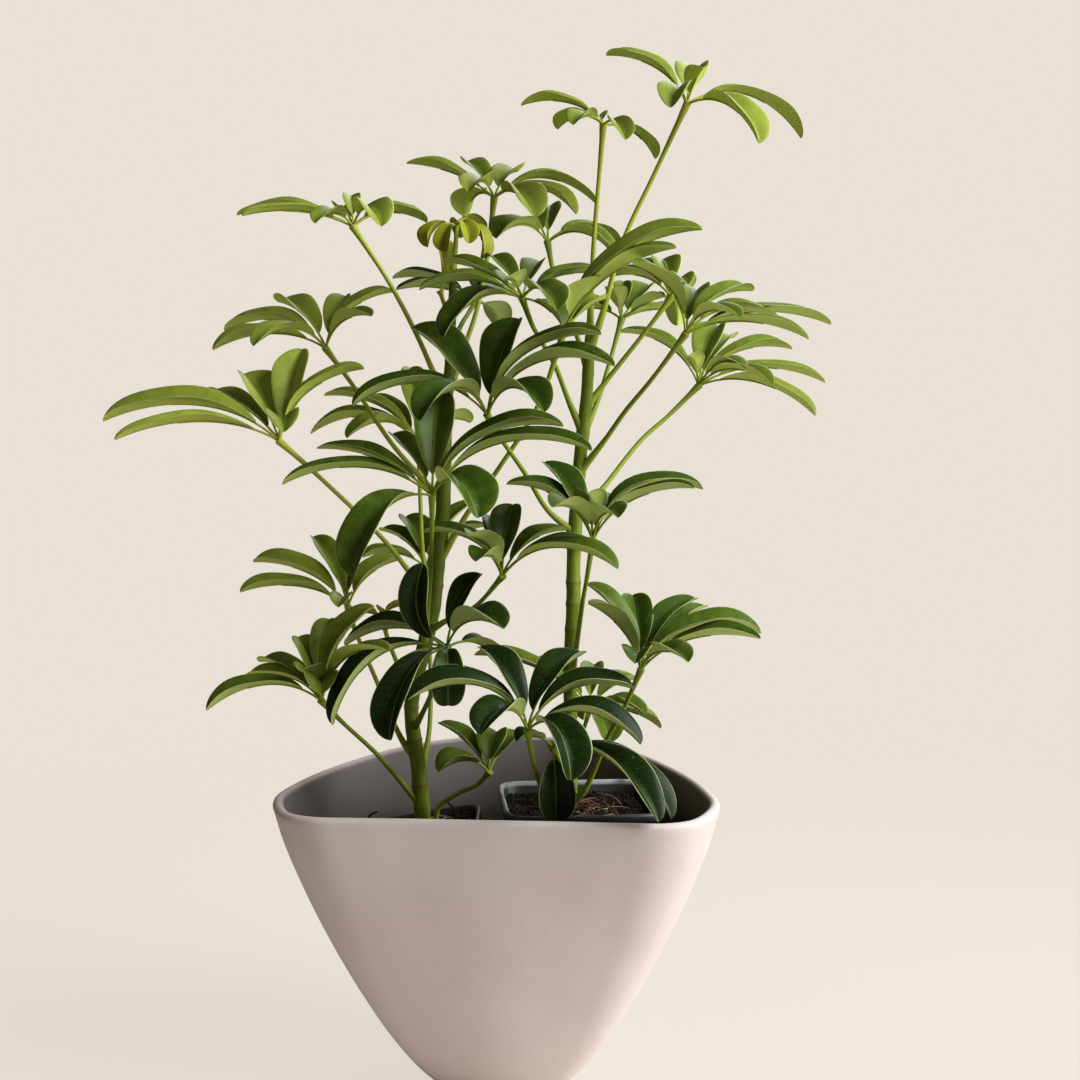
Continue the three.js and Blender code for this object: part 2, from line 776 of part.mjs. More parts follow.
// Woody roots lying half sunk in the potting mix of one pot.
function roots({ pot, count, seed, step, radius }) {
  return Array.from({ length: count }, (_, i) => {
    const draw = (place) => scatter(seed + i * step + place);
    const heading = draw(0) * 2 * Math.PI;
    const reach = ROOT_REACH + ROOT_REACH_SPREAD * draw(0.3);
    const middleX = pot.x + (draw(0.5) - 0.5) * ROOT_SPREAD;
    const middleY = pot.y + (draw(0.7) - 0.5) * ROOT_SPREAD;
    const points = ROOT_POINTS.map((along, j) =>
      vector([
        middleX + Math.cos(heading) * reach * along + ROOT_BEND * (draw(j) - 0.5),
        middleY + Math.sin(heading) * reach * along + ROOT_BEND * (draw(-j) - 0.5),
        pot.soil + pot.heap + (Math.abs(along) === 1 ? -ROOT_SINK : ROOT_RISE),
      ]),
    );
    const line = new THREE.CatmullRomCurve3(points);
    return solidOf(leaned(pot, tube(line, ROOT_STEPS, ROOT_SIDES, () => radius)));
  });
}

// A tube of round sections along a curve, with a radius that follows the share of its length.
// No curve runs along SECTION_START, from which each section's first point is turned.
function tube(curve, steps, sides, radiusAt) {
  const sections = [];
  for (let i = 0; i <= steps; i += 1) {
    const share = i / steps;
    const middle = curve.getPointAt(share);
    const along = curve.getTangentAt(share);
    const across = SECTION_START.clone().cross(along).normalize();
    const around = along.clone().cross(across);
    const section = [];
    for (let j = 0; j < sides; j += 1) {
      const angle = (j / sides) * 2 * Math.PI;
      section.push(
        middle
          .clone()
          .addScaledVector(across, radiusAt(share) * Math.cos(angle))
          .addScaledVector(around, radiusAt(share) * Math.sin(angle)),
      );
    }
    sections.push(section);
  }
  return loft(sections);
}

// A stem, thicker at each place where a leaf sits. grow widens it for cutting its seats.
function stem(points, radii, grow) {
  const curve = new THREE.CatmullRomCurve3(points.map(vector));
  const pairs = radii.map((radius, i) => [i / (radii.length - 1), radius]);
  const radiusAt = (share) => between(pairs, curve.getUtoTmapping(share)) + grow;
  return solidOf(tube(curve, STEM_STEPS, STEM_SIDES, radiusAt));
}

// One section of a leaflet: two halves folded up from a thick middle rib, thinning to the edges.
function leafletSection(middle, side, normal, halfWidth, fold, ribHalf) {
  const place = (across, lift) =>
    middle.clone().addScaledVector(side, across).addScaledVector(normal, lift);
  const lift = halfWidth * Math.tan(fold);
  return [place(-halfWidth, lift), place(0, ribHalf), place(halfWidth, lift), place(0, -ribHalf)];
}

function leaflet(knot, [acrossReach, backReach, upReach, width, arch, turn]) {
  const chord = new THREE.Vector3(acrossReach, backReach, upReach);
  const heading = new THREE.Vector3(acrossReach, backReach, 0).normalize();
  const side = heading.clone().cross(up);
  const lift = side.clone().cross(chord).normalize();
  const handle = ({ along, height }) =>
    knot.clone().addScaledVector(chord, along).addScaledVector(lift, height * arch);
  const tip = knot.clone().add(chord);
  const curve = new THREE.CubicBezierCurve3(
    knot,
    handle(FIRST_HANDLE),
    handle(SECOND_HANDLE),
    tip,
  );
  const faceTurn = THREE.MathUtils.degToRad(turn) * (acrossReach < 0 ? -1 : 1);
  const sectionAt = (share, halfWidth, fold) => {
    const along = curve.getTangentAt(share);
    const turnedSide = side.clone().applyAxisAngle(along, faceTurn);
    const normal = turnedSide.clone().cross(along).normalize();
    const middle = curve.getPointAt(share);
    return leafletSection(middle, turnedSide, normal, halfWidth, fold, LEAFLET_RIB_HALF);
  };
  const stalkShare = Math.min(
    LEAFLET_STALK / curve.getLength() + LEAFLET_STALK_SHARE,
    LEAFLET_STALK_MOST,
  );
  const stations = chord.length() > LONG_LEAFLET ? LONG_BLADE : SHORT_BLADE;
  const sections = [
    sectionAt(0, LEAFLET_RIB_HALF, 0),
    ...stations.map(([along, wide]) => {
      const share = stalkShare + (1 - stalkShare) * along;
      return sectionAt(share, (wide * width) / 2, BLADE_FOLD);
    }),
    [curve.getPointAt(1)],
  ];
  return solidOf(loft(sections, [2, 3]));
}

// A whole leaf as one body, with its foot cut to sit on what carries it.
function leaf({ stalk, leaflets }, seat) {
  const curve = new THREE.CatmullRomCurve3(stalk.map(vector));
  const radiusAt = (share) => between(STALK_TAPER, share);
  const stalkTube = tube(curve, STALK_STEPS, STALK_SIDES, radiusAt);
  const knot = vector(stalk.at(-1)).addScaledVector(curve.getTangentAt(1), -KNOT_DEPTH);
  const blades = leaflets.map((row) => leaflet(knot, row));
  const whole = joined([solidOf(stalkTube), ...blades]);
  return seat ? whole.subtract(seat) : whole;
}

const finish = (color, roughness) => new THREE.MeshStandardMaterial({ color, roughness, metalness: 0 });
const CERAMIC = finish(0xb4a399, 0.7);
const PLASTIC = finish(0x3a3b3b, 0.55);
const MIX = finish(0x2b2119, 0.95);
const BARK = finish(0x6f8136, 0.6);
const LEAF = finish(0x3f5a22, 0.45);
const YOUNG_LEAF = finish(0x9a9a34, 0.5);

const plant = new THREE.Group();
plant.add(sub("planter", planter(), CERAMIC));
plant.add(sub("grow_pot_right", growPot(RIGHT_POT), PLASTIC));
plant.add(sub("grow_pot_left", growPot(LEFT_POT), PLASTIC));

const rightStem = stem(RIGHT_STEM, RIGHT_RADII, 0);
const leftStem = stem(LEFT_STEM, LEFT_RADII, 0);
const rightSeat = stem(RIGHT_STEM, RIGHT_RADII, SEAT_GAP);
const leftSeat = stem(LEFT_STEM, LEFT_RADII, SEAT_GAP);

// Plain holes in the potting mix, a little wider and deeper than what stands in them.
function stalkHole({ stalk }, pot) {
  const [x, y, z] = stalk[0];
  const height = pot.soil + HOLE_RISE - z;
  const wide = STALK_FOOT_RADIUS + HOLE_ROOM;
  const shaft = new THREE.CylinderGeometry(wide, wide, height + SEAT_GAP, STEM_SIDES);
  return solidOf(shaft.rotateX(Math.PI / 2).translate(x, y, z + (height - SEAT_GAP) / 2));
}

function stemHole(points, seat) {
  const [x, y, z] = points[0];
  const wide = STEM_HOLE_FOOT;
  const below = new THREE.CylinderGeometry(wide, wide, STEM_HOLE_DEPTH, STEM_SIDES);
  return seat.add(solidOf(below.rotateX(Math.PI / 2).translate(x, y, z)));
}

const rightMix = joined([soil(RIGHT_POT), ...roots(RIGHT_ROOTS)])
  .subtract(stemHole(RIGHT_STEM, rightSeat))
  .subtract(stalkHole(SOIL_LEAVES.leaf_soil_right, RIGHT_POT));
const leftMix = joined([soil(LEFT_POT), ...roots(LEFT_ROOTS)])
  .subtract(stemHole(LEFT_STEM, leftSeat))
  .subtract(stalkHole(SOIL_LEAVES.leaf_soil_left, LEFT_POT));
plant.add(sub("soil_right", geometryOf(rightMix), MIX));
plant.add(sub("soil_left", geometryOf(leftMix), MIX));

const rightPlant = new THREE.Group();
rightPlant.add(sub("stem_right", geometryOf(rightStem), BARK));
Object.entries(RIGHT_LEAVES).forEach(([name, row]) => {
  rightPlant.add(sub(name, geometryOf(leaf(row, rightSeat)), LEAF));
});

const leftPlant = new THREE.Group();
leftPlant.add(sub("stem_left", geometryOf(leftStem), BARK));
Object.entries(LEFT_LEAVES).forEach(([name, row]) => {
  leftPlant.add(sub(name, geometryOf(leaf(row, leftSeat)), LEAF));
});
leftPlant.add(sub("crown_left", geometryOf(leaf(CROWN, leftSeat)), YOUNG_LEAF));

const lowLeaves = new THREE.Group();
Object.entries(SOIL_LEAVES).forEach(([name, row]) => {
  lowLeaves.add(sub(name, geometryOf(leaf(row)), LEAF));
});

plant.add(rightPlant, leftPlant, lowLeaves);

export default plant;
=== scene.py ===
# %% [markdown]
# # A potted umbrella plant
# Two woody stems carry long-stalked leaves, and each leaf is a ring of arched leaflets, like the
# ribs of an open umbrella. The stems stand in two square nursery pots inside a tall ceramic
# planter with a three-cornered mouth.
#
# The CAD model is loaded first and stays as a fixed frame: it says where each thing is and how
# big it is. Every piece made below lies in that frame, in metres, so nothing has to be fitted by
# eye. The numbers are kept in millimetres, as a maker would write them, and turned into metres
# where a mesh is made.

# %% Load the frame
import math

import bpy
import numpy as np
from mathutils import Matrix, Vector


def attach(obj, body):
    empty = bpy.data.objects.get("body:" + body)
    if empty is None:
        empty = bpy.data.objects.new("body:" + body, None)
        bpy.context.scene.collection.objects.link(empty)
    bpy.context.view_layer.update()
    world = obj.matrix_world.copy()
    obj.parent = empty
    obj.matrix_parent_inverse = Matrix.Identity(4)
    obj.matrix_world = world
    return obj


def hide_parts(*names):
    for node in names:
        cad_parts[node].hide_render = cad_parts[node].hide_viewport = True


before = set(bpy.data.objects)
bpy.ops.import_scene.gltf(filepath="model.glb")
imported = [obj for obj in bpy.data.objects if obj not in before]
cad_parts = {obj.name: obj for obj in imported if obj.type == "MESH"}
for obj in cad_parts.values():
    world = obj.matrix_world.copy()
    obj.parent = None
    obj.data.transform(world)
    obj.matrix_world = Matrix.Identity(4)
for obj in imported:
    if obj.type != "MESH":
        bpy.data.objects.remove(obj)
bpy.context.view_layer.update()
MM = 0.001
print("nodes in the frame:", len(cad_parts))

# %% [markdown]
# ## The camera
# The picture was taken level with the foliage, from about 1.27 m. A camera in Blender looks
# along its own -Z, so `to_track_quat` turns it until -Z points at the target. The lens is
# given as a focal length on a 36 mm sensor. A little turn downwards does what a shift
# would do, and it keeps the object in the middle when the camera moves to another side.

# %% Set up the camera
CAMERA_PLACE = Vector((0, -1.265, 0.496))
CAMERA_TARGET = Vector((0.0262, 0, 0.3577))
CAMERA_LENS = 65.3

camera = bpy.data.objects.new("camera", bpy.data.cameras.new("camera"))
bpy.context.scene.collection.objects.link(camera)
camera.location = CAMERA_PLACE
camera.rotation_euler = (CAMERA_TARGET - CAMERA_PLACE).to_track_quat("-Z", "Y").to_euler()
camera.data.lens = CAMERA_LENS
bpy.context.scene.camera = camera
bpy.context.scene.view_settings.view_transform = "Standard"
print("camera looks along", [round(v, 3) for v in (CAMERA_TARGET - CAMERA_PLACE).normalized()])

# %% [markdown]
# ## Short helpers for node trees
# A material and a Geometry Nodes tree are both node trees. Writing each node, its settings and
# its links one by one takes many lines, so short helpers do it: `place` adds a node and fills
# its inputs with numbers or with another node's output, `calc` adds a Math node, and
# `laid_over` puts a plain colour over another where a mask is.

# %% Helpers that add nodes
def fill(tree, socket, value):
    if isinstance(value, bpy.types.NodeSocket):
        tree.links.new(value, socket)
    else:
        socket.default_value = value


def place(tree, kind, inputs=None, **settings):
    node = tree.nodes.new(kind)
    for name, value in settings.items():
        setattr(node, name, value)
    for name, value in (inputs or {}).items():
        fill(tree, node.inputs[name], value)
    return node


def calc(tree, operation, *values):
    node = place(tree, "ShaderNodeMath", operation=operation)
    for socket, value in zip(node.inputs, values):
        fill(tree, socket, value)
    return node.outputs[0]


def times(tree, first, second):
    return calc(tree, "MULTIPLY", first, second)


def ramp(tree, value, stops):
    node = place(tree, "ShaderNodeValToRGB", {"Fac": value})
    elements = node.color_ramp.elements
    while len(elements) < len(stops):
        elements.new(1.0)
    for element, (at, color) in zip(elements, stops):
        element.position = at
        element.color = (*color, 1)
    return node.outputs["Color"]


def window(tree, value, low, high, turned=False):
    """0 below low and 1 above high, or the other way round."""
    limits = {"From Min": low, "From Max": high, "To Min": float(turned), "To Max": 1 - turned}
    node = place(tree, "ShaderNodeMapRange", {"Value": value, **limits})
    node.interpolation_type = "SMOOTHSTEP"
    return node.outputs["Result"]


def mixed(tree, factor, first, second):
    node = place(tree, "ShaderNodeMix", data_type="RGBA")
    for name, value in (("Factor_Float", factor), ("A_Color", first), ("B_Color", second)):
        socket = next(s for s in node.inputs if s.identifier == name)
        fill(tree, socket, value)
    return next(s for s in node.outputs if s.identifier == "Result_Color")


def laid_over(tree, base, color, mask, share=1.0):
    """A plain colour over another where the mask is, at a share of its strength."""
    return mixed(tree, times(tree, mask, share), base, (*color, 1))


print("node helpers ready")

# %% [markdown]
# ## Shared surface effects
# Several finishes need the same thing: a fine grain, and small specks here and there, which
# are dust on a leaf, pits in the ceramic and pores in the bark. Each is built once as a node
# group with named sockets, and every material places it with its own values. A group gives out
# only masks and heights; the shader stays in the material.

# %% Build the shared effects
def new_group(name, inputs, outputs):
    tree = bpy.data.node_groups.new(name, "ShaderNodeTree")
    for title, value in inputs.items():
        socket = tree.interface.new_socket(title, in_out="INPUT", socket_type="NodeSocketFloat")
        socket.default_value = value
    for title in outputs:
        tree.interface.new_socket(title, in_out="OUTPUT", socket_type="NodeSocketFloat")
    taken = tree.nodes.new("NodeGroupInput").outputs
    given = tree.nodes.new("NodeGroupOutput").inputs
    return tree, taken, given


def object_place(tree):
    return place(tree, "ShaderNodeTexCoord").outputs["Object"]


def noise(tree, scale, detail, roughness=0.5, at=None):
    inputs = {"Vector": at or object_place(tree), "Scale": scale, "Detail": detail}
    return place(tree, "ShaderNodeTexNoise", {**inputs, "Roughness": roughness}).outputs["Fac"]


grain_group, taken, given = new_group("grain", {"Scale": 900.0, "Spread": 60.0}, ["Height", "Patches"])
fill(grain_group, given["Height"], noise(grain_group, taken["Scale"], 4.0, 0.6))
fill(grain_group, given["Patches"], noise(grain_group, taken["Spread"], 2.0))

dust_group, taken, given = new_group("dust", {"Scale": 700.0, "Amount": 0.3}, ["Specks"])
cell_inputs = {"Vector": object_place(dust_group), "Scale": taken["Scale"], "Randomness": 1.0}
cells = place(dust_group, "ShaderNodeTexVoronoi", cell_inputs).outputs
near = window(dust_group, cells["Distance"], 0.12, 0.2, turned=True)
chosen = place(dust_group, "ShaderNodeSeparateColor", {"Color": cells["Color"]}).outputs[0]
kept = calc(dust_group, "LESS_THAN", chosen, taken["Amount"])
fill(dust_group, given["Specks"], times(dust_group, near, kept))
print("shared effects:", grain_group.name, dust_group.name)

# %% [markdown]
# ## A start for every material
# Each finish below is a Principled shader. Numbers that are the same all over the surface are
# set on the shader's own sockets. Colour, roughness and a fine height that change over the
# surface come from nodes, and some of these read what the mesh carries as an attribute. The
# height goes through a Bump node, whose distance is in metres.

# %% Helper that starts a material
def new_material(name, **settings):
    material = bpy.data.materials.new(name)
    material.use_nodes = True
    tree = material.node_tree
    shader = tree.nodes["Principled BSDF"]
    for title, value in settings.items():
        shader.inputs[title.replace("_", " ")].default_value = value
    return material, tree, shader


def use_group(tree, group, **values):
    return place(tree, "ShaderNodeGroup", values, node_tree=group).outputs


def carried(tree, name):
    return place(tree, "ShaderNodeAttribute", attribute_name=name).outputs["Fac"]


def dress(tree, shader, color, height, depth, rough=None):
    """Feeds a shader its colour, a fine relief and, where it changes, its roughness."""
    fill(tree, shader.inputs["Base Color"], color)
    if rough is not None:
        fill(tree, shader.inputs["Roughness"], rough)
    bump = place(tree, "ShaderNodeBump", {"Height": height, "Distance": depth})
    tree.links.new(bump.outputs["Normal"], shader.inputs["Normal"])


print("material helpers ready")

# %% [markdown]
# ## Curves and skins
# The solids are made on centripetal Catmull-Rom curves. These run through their points without
# loops or overshoot, so the same few points give the same line here, only finer. A skin is a
# stack of rings with the same number of points, joined by quads, which suits a planter, a pot
# and a plug of soil alike.

# %% Helpers for curves and skins
CURVE_STEPS = 24
UP = np.array([0.0, 0.0, 1.0])


def unit(v):
    v = np.asarray(v, float)
    return v / np.linalg.norm(v, axis=-1, keepdims=True)


def smooth_line(points, closed=False):
    """Dense points on the curve through the given ones, and their places along the list."""
    points = np.asarray(points, float)
    if closed:
        padded = np.vstack([points[-1:], points, points[:2]])
    else:
        ends = 2 * points[0] - points[1], 2 * points[-1] - points[-2]
        padded = np.vstack([ends[0], points, ends[1]])
    share = (np.arange(CURVE_STEPS) / CURVE_STEPS)[:, None]
    dense, places = [], []
    for i in range(len(padded) - 3):
        a, b, c, d = padded[i : i + 4]
        e, f, g = (math.sqrt(np.linalg.norm(q - p)) for p, q in ((a, b), (b, c), (c, d)))
        leave = ((b - a) / e - (c - a) / (e + f) + (c - b) / f) * f
        arrive = ((c - b) / f - (d - b) / (f + g) + (d - c) / g) * f
        square, cube = share**2, share**3
        start = b * (2 * cube - 3 * square + 1) + leave * (cube - 2 * square + share)
        dense.append(start + c * (3 * square - 2 * cube) + arrive * (cube - square))
        places.extend(i + share[:, 0])
    dense.append(padded[-2:-1])
    places.append(len(padded) - 3)
    return np.vstack(dense), np.array(places)


def spaced(dense, count, *extra):
    """Points at even distance along a dense line, with any values that go with it."""
    steps = np.linalg.norm(np.diff(dense, axis=0), axis=1)
    length = np.concatenate([[0], np.cumsum(steps)])
    at = np.linspace(0, length[-1], count)
    even = np.column_stack([np.interp(at, length, column) for column in dense.T])
    return (even, *(np.interp(at, length, values) for values in extra))


def link(name, mesh):
    piece = bpy.data.objects.new(name, mesh)
    bpy.context.scene.collection.objects.link(piece)
    return piece


def skin(name, rings, material):
    """A closed mesh through a stack of rings, closed by a point in the middle of each end."""
    count = len(rings[0])
    stack = np.vstack([*rings, rings[0].mean(axis=0), rings[-1].mean(axis=0)]) * MM
    low, high = len(stack) - 2, len(stack) - 1
    last = (len(rings) - 1) * count
    faces = []
    for j in range(count):
        k = (j + 1) % count
        faces.append((low, k, j))
        faces.append((high, last + j, last + k))
        for i in range(0, last, count):
            faces.append((i + j, i + k, i + count + k, i + count + j))
    mesh = bpy.data.meshes.new(name)
    mesh.from_pydata(stack.tolist(), [], faces)
    mesh.materials.append(material)
    mesh.shade_smooth()
    volume = sum(np.dot(stack[a], np.cross(stack[b], stack[c])) for a, b, c, *_ in faces)
    if volume < 0:
        mesh.flip_normals()
    return link(name, mesh)


def stands_for(piece, slot, *nodes):
    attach(piece, "root")
    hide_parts(*nodes)
    mesh = piece.data
    triangles = sum(len(face.vertices) - 2 for face in mesh.polygons)
    print(f"{piece.name}: {triangles} triangles for {', '.join(nodes)}")


line_probe, _ = smooth_line([(0, 0, 0), (1, 1, 0), (2, 0, 0)])
print("a line through three points has", len(line_probe), "fine points")

# %% [markdown]
# ## The planter's finish
# The planter is matte, unglazed-looking ceramic: a warm grey-beige with a very faint cloudiness,
# a fine sandy grain, and a few small pits. It has little shine, so roughness is high. The
# clouds are a large soft noise, and the grain is the shared one used as height. The inside is
# darkened by painted shade, which stands for the shadow in the deep mouth, so the mesh carries an
# attribute for it: 0 outside, and rising from the lip's top down the inner wall to 1.

# %% Make the ceramic
ceramic, tree, shader = new_material("matte_ceramic")
grain = use_group(tree, grain_group, Scale=1400.0, Spread=22.0)
clouds = ramp(tree, grain["Patches"], [(0.3, (0.5, 0.413, 0.388)), (0.7, (0.53, 0.443, 0.418))])
fine = window(tree, grain["Height"], 0.3, 0.7)
sand = ramp(tree, fine, [(0, (0.37, 0.29, 0.265)), (1, (0.6, 0.51, 0.485))])
pits = use_group(tree, dust_group, Scale=120.0, Amount=0.006)
flecked = laid_over(tree, mixed(tree, 0.1, clouds, sand), (0.2, 0.16, 0.13), pits["Specks"], 0.5)
# Painted shade: a near black laid over the lip's inner half, the inner wall and the floor, with less shine
# there too.
painted_inner_shade = carried(tree, "painted_inner_shade")
color = laid_over(tree, flecked, (0.016, 0.011, 0.007), painted_inner_shade)
rough = calc(tree, "MULTIPLY_ADD", fine, 0.12, 0.58)
dress(tree, shader, color, grain["Height"], 0.00018, rough)
fill(tree, shader.inputs["Specular IOR Level"], calc(tree, "MULTIPLY_ADD", painted_inner_shade, -0.35, 0.5))
print("made", ceramic.name)

# %% [markdown]
# ## The planter's mouth and profile
# The real planter is slip-cast: one wall of even thickness that widens from a small foot up to a
# triangular mouth with round corners. Two lines say all of that: half of the mouth's outline,
# seen from above and mirrored, and the profile, which gives the half width at each height. The
# mouth is turned a little, as the planter stands in the photograph.

# %% Draw the planter's mouth and profile
PLANTER_TURN, PLANTER_SIDES = math.radians(-5.5), 170
PLANTER_PROFILE = [(0, 44), (3, 47), (16, 59), (39, 75), (62, 88), (88, 101), (120, 115),
                   (148, 125.5), (173, 133.5), (195.5, 138.5)]
MOUTH_OUTLINE = [(0, -104), (46, -104), (80, -105), (108, -104), (125, -94), (136, -69),
                 (139.5, -44), (134, -12), (124.5, 20), (109, 55.5), (90.5, 89.5), (71, 114),
                 (51, 131), (27, 142), (0, 145)]

left_half = [(-x, y) for x, y in MOUTH_OUTLINE[-2:0:-1]]
mouth_line, _ = smooth_line(MOUTH_OUTLINE + left_half, closed=True)
mouth = spaced(mouth_line, PLANTER_SIDES + 1)[0][:-1]
cosine, sine = math.cos(PLANTER_TURN), math.sin(PLANTER_TURN)
mouth = mouth @ np.array([[cosine, sine], [-sine, cosine]])
profile_line, _ = smooth_line(PLANTER_PROFILE)
print("points around the mouth:", len(mouth))

# %% [markdown]
# ## The planter
# Its outline at any height is the mouth's outline made smaller and rounder. So the mesh is a skin
# through rings: up the outside, over a half-round lip, down the inside and across the floor. An
# inset moves a ring's points inwards at a right angle to its outline, which keeps the wall's
# thickness even.

# %% Build the planter
PLANTER_WALL, PLANTER_FLOOR, PLANTER_HEIGHT, PLANTER_X = 7, 9, 198, 1.6
LIP_SPRING, MOUTH_HALF_WIDTH, FOOT_ROUNDNESS, INSIDE_FOOT = 194.8, 136, 0.5, 18
FOOT_ROUNDING = [(0, 1.6), (0.4, 0.6), (1.2, 0.1), (3, 0)]
FLOOR_ROUNDING = [(4, 1.5), (1.2, 4), (0, 8)]
LIP_RINGS, WALL_RINGS, INSIDE_RINGS = 11, 48, 40
LIP_TOP_RING, LIP_SHADE_FADE, INNER_SHADE_FADE_RINGS, INNER_SHADE_FADE_START = 5, 7, 12, 0.75


def planter_ring(height, inset, shape_height=None):
    """The outline at a height, or another height's outline lifted there, set in by an inset."""
    at = height if shape_height is None else shape_height
    half = np.interp(at, profile_line[:, 0], profile_line[:, 1])
    roundness = FOOT_ROUNDNESS * (1 - at / PLANTER_HEIGHT)
    ring = mouth * half / MOUTH_HALF_WIDTH * (1 - roundness) + unit(mouth) * half * roundness
    along = np.roll(ring, -1, axis=0) - np.roll(ring, 1, axis=0)
    outward = unit(np.column_stack([along[:, 1], -along[:, 0]]))
    ring = ring - outward * inset + (PLANTER_X, 0)
    return np.column_stack([ring, np.full(len(ring), float(height))])


outer = [planter_ring(height, inset) for height, inset in FOOT_ROUNDING]
outer += [planter_ring(height, 0) for height in np.linspace(6, LIP_SPRING, WALL_RINGS)]
lip = []
for angle in np.linspace(0, math.pi, LIP_RINGS + 2)[1:-1]:
    inset = PLANTER_WALL / 2 * (1 - math.cos(angle))
    rise = (PLANTER_HEIGHT - LIP_SPRING) * math.sin(angle)
    lip.append(planter_ring(LIP_SPRING + rise, inset, LIP_SPRING))
inner = [planter_ring(z, PLANTER_WALL) for z in np.linspace(LIP_SPRING, INSIDE_FOOT, INSIDE_RINGS)]
inner += [planter_ring(PLANTER_FLOOR + rise, PLANTER_WALL + inset, INSIDE_FOOT)
          for rise, inset in FLOOR_ROUNDING]
planter = skin("ceramic_planter", [*outer, *lip, *inner], ceramic)

# The painted shade's strength at each ring: none outside, fading in over the lip's inner half, then from a
# share at the top of the inner wall to full deep down.
shades = [0] * len(outer) + [max(0, (i - LIP_TOP_RING) / LIP_SHADE_FADE) for i in range(LIP_RINGS)]
shades += [*np.linspace(INNER_SHADE_FADE_START, 1, INNER_SHADE_FADE_RINGS)]
shades += [1] * (len(inner) - INNER_SHADE_FADE_RINGS)
shades = [*np.repeat(shades, PLANTER_SIDES), 0, 1]
planter.data.attributes.new("painted_inner_shade", "FLOAT", "POINT").data.foreach_set("value", shades)
stands_for(planter, "ceramic", "planter")

# %% [markdown]
# ## The pots' plastic
# Old nursery pots are grey-black. A painted highlight lies on the upper rim of the taller pot,
# where light falls on it from above: a pale grey, laid on in scuff-like patches. So the finish
# reads the height from the object's coordinates, in metres. The front of that rim stays dark.

# %% Make the plastic
plastic, tree, shader = new_material("pot_plastic_painted_rim")
grain = use_group(tree, grain_group, Scale=500.0, Spread=70.0)
spot = place(tree, "ShaderNodeSeparateXYZ", {"Vector": object_place(tree)}).outputs
# Painted highlight: a pale grey on the upper rim where light falls, left out at the front and broken into
# scuff-like patches.
at_rim = window(tree, spot["Z"], 0.1875, 0.1892)
rim_highlight_area = times(tree, at_rim, window(tree, spot["Y"], -0.06, -0.04))
rim_highlight_patches = times(tree, rim_highlight_area, window(tree, grain["Patches"], 0.1, 0.6))
black = ramp(tree, grain["Height"], [(0.3, (0.007, 0.007, 0.007)), (0.8, (0.018, 0.018, 0.017))])
color = laid_over(tree, black, (0.26, 0.27, 0.27), rim_highlight_patches)
rough = calc(tree, "MULTIPLY_ADD", grain["Patches"], 0.25, 0.35)
dress(tree, shader, color, grain["Height"], 0.00015, rough)
print("made", plastic.name)

# %% [markdown]
# ## The nursery pots
# A nursery pot is thin moulded plastic: square with round corners, narrower at the foot, with a
# rolled rim to stack and to lift it by. A superellipse gives such a rounded square from one
# formula. The left pot leans, so its rings are made upright first and turned about its middle.

# %% Build the pots
POT_SQUARENESS, POT_SIDES, POT_WALL, POT_RINGS = 8, 120, 2, 12
POT_RIM_DEPTH, POT_RIM_STEP, RIM_EDGE, RIM_ROUND, RIM_ROLL, RIM_INSET = 6, 1.6, 0.5, 1.6, 1.5, 1.4
POT_FOOT_ROUNDING = ((0, 1.5), (0.5, 0.4), (1.6, 0))
RIGHT_POT = {"x": 50.5, "y": -16, "turn": 3.8, "lean": 0, "top": 191, "bottom": 83.2,
             "half": (37, 48.4), "soil": 183, "heap": -3}
LEFT_POT = {"x": -53.5, "y": -17, "turn": -2, "lean": 10, "top": 169.5, "bottom": 80,
            "half": (37, 46.3), "soil": 164, "heap": 6}


def pot_ring(pot, half, level):
    angle = np.linspace(0, 2 * math.pi, POT_SIDES, endpoint=False)
    power = abs(np.cos(angle)) ** POT_SQUARENESS + abs(np.sin(angle)) ** POT_SQUARENESS
    reach = half / power ** (1 / POT_SQUARENESS)
    turned = angle + math.radians(pot["turn"])
    x, y = pot["x"] + reach * np.cos(turned), pot["y"] + reach * np.sin(turned)
    return np.column_stack([x, y, np.full(POT_SIDES, float(level))])


def leaned(pot, points):
    """Points of a pot, leaned to the left about the pot's middle by its lean."""
    angle = math.radians(pot["lean"])
    middle = np.array([pot["x"], pot["y"], (pot["bottom"] + pot["top"]) / 2])
    x, y, z = (points - middle).T
    across = x * math.cos(angle) - z * math.sin(angle)
    return middle + np.column_stack([across, y, x * math.sin(angle) + z * math.cos(angle)])


def pot_half(pot, level):
    return np.interp(level, (pot["bottom"], pot["top"]), pot["half"])


def nursery_pot(pot):
    low, top = pot["bottom"], pot["top"]
    rim_foot, floor, spring = top - POT_RIM_DEPTH, low + POT_WALL, top - RIM_ROUND
    outer = pot["half"][1] + POT_RIM_STEP
    rings = [pot_ring(pot, pot["half"][0] - inset, low + up) for up, inset in POT_FOOT_ROUNDING]
    rings += [pot_ring(pot, pot_half(pot, z), z) for z in np.linspace(low + 4, rim_foot, POT_RINGS)]
    rings += [pot_ring(pot, outer - RIM_EDGE, rim_foot), pot_ring(pot, outer, rim_foot + RIM_EDGE)]
    rings += [pot_ring(pot, outer, spring)]
    rings += [pot_ring(pot, outer - RIM_ROLL * (1 - math.cos(a)), spring + RIM_ROUND * math.sin(a))
              for a in np.linspace(0.3, math.pi - 0.3, 8)]
    rings += [pot_ring(pot, pot["half"][1] - RIM_INSET, spring)]
    rings += [pot_ring(pot, pot_half(pot, z) - POT_WALL, z)
              for z in np.linspace(rim_foot, floor, POT_RINGS)]
    return [leaned(pot, ring) for ring in rings]


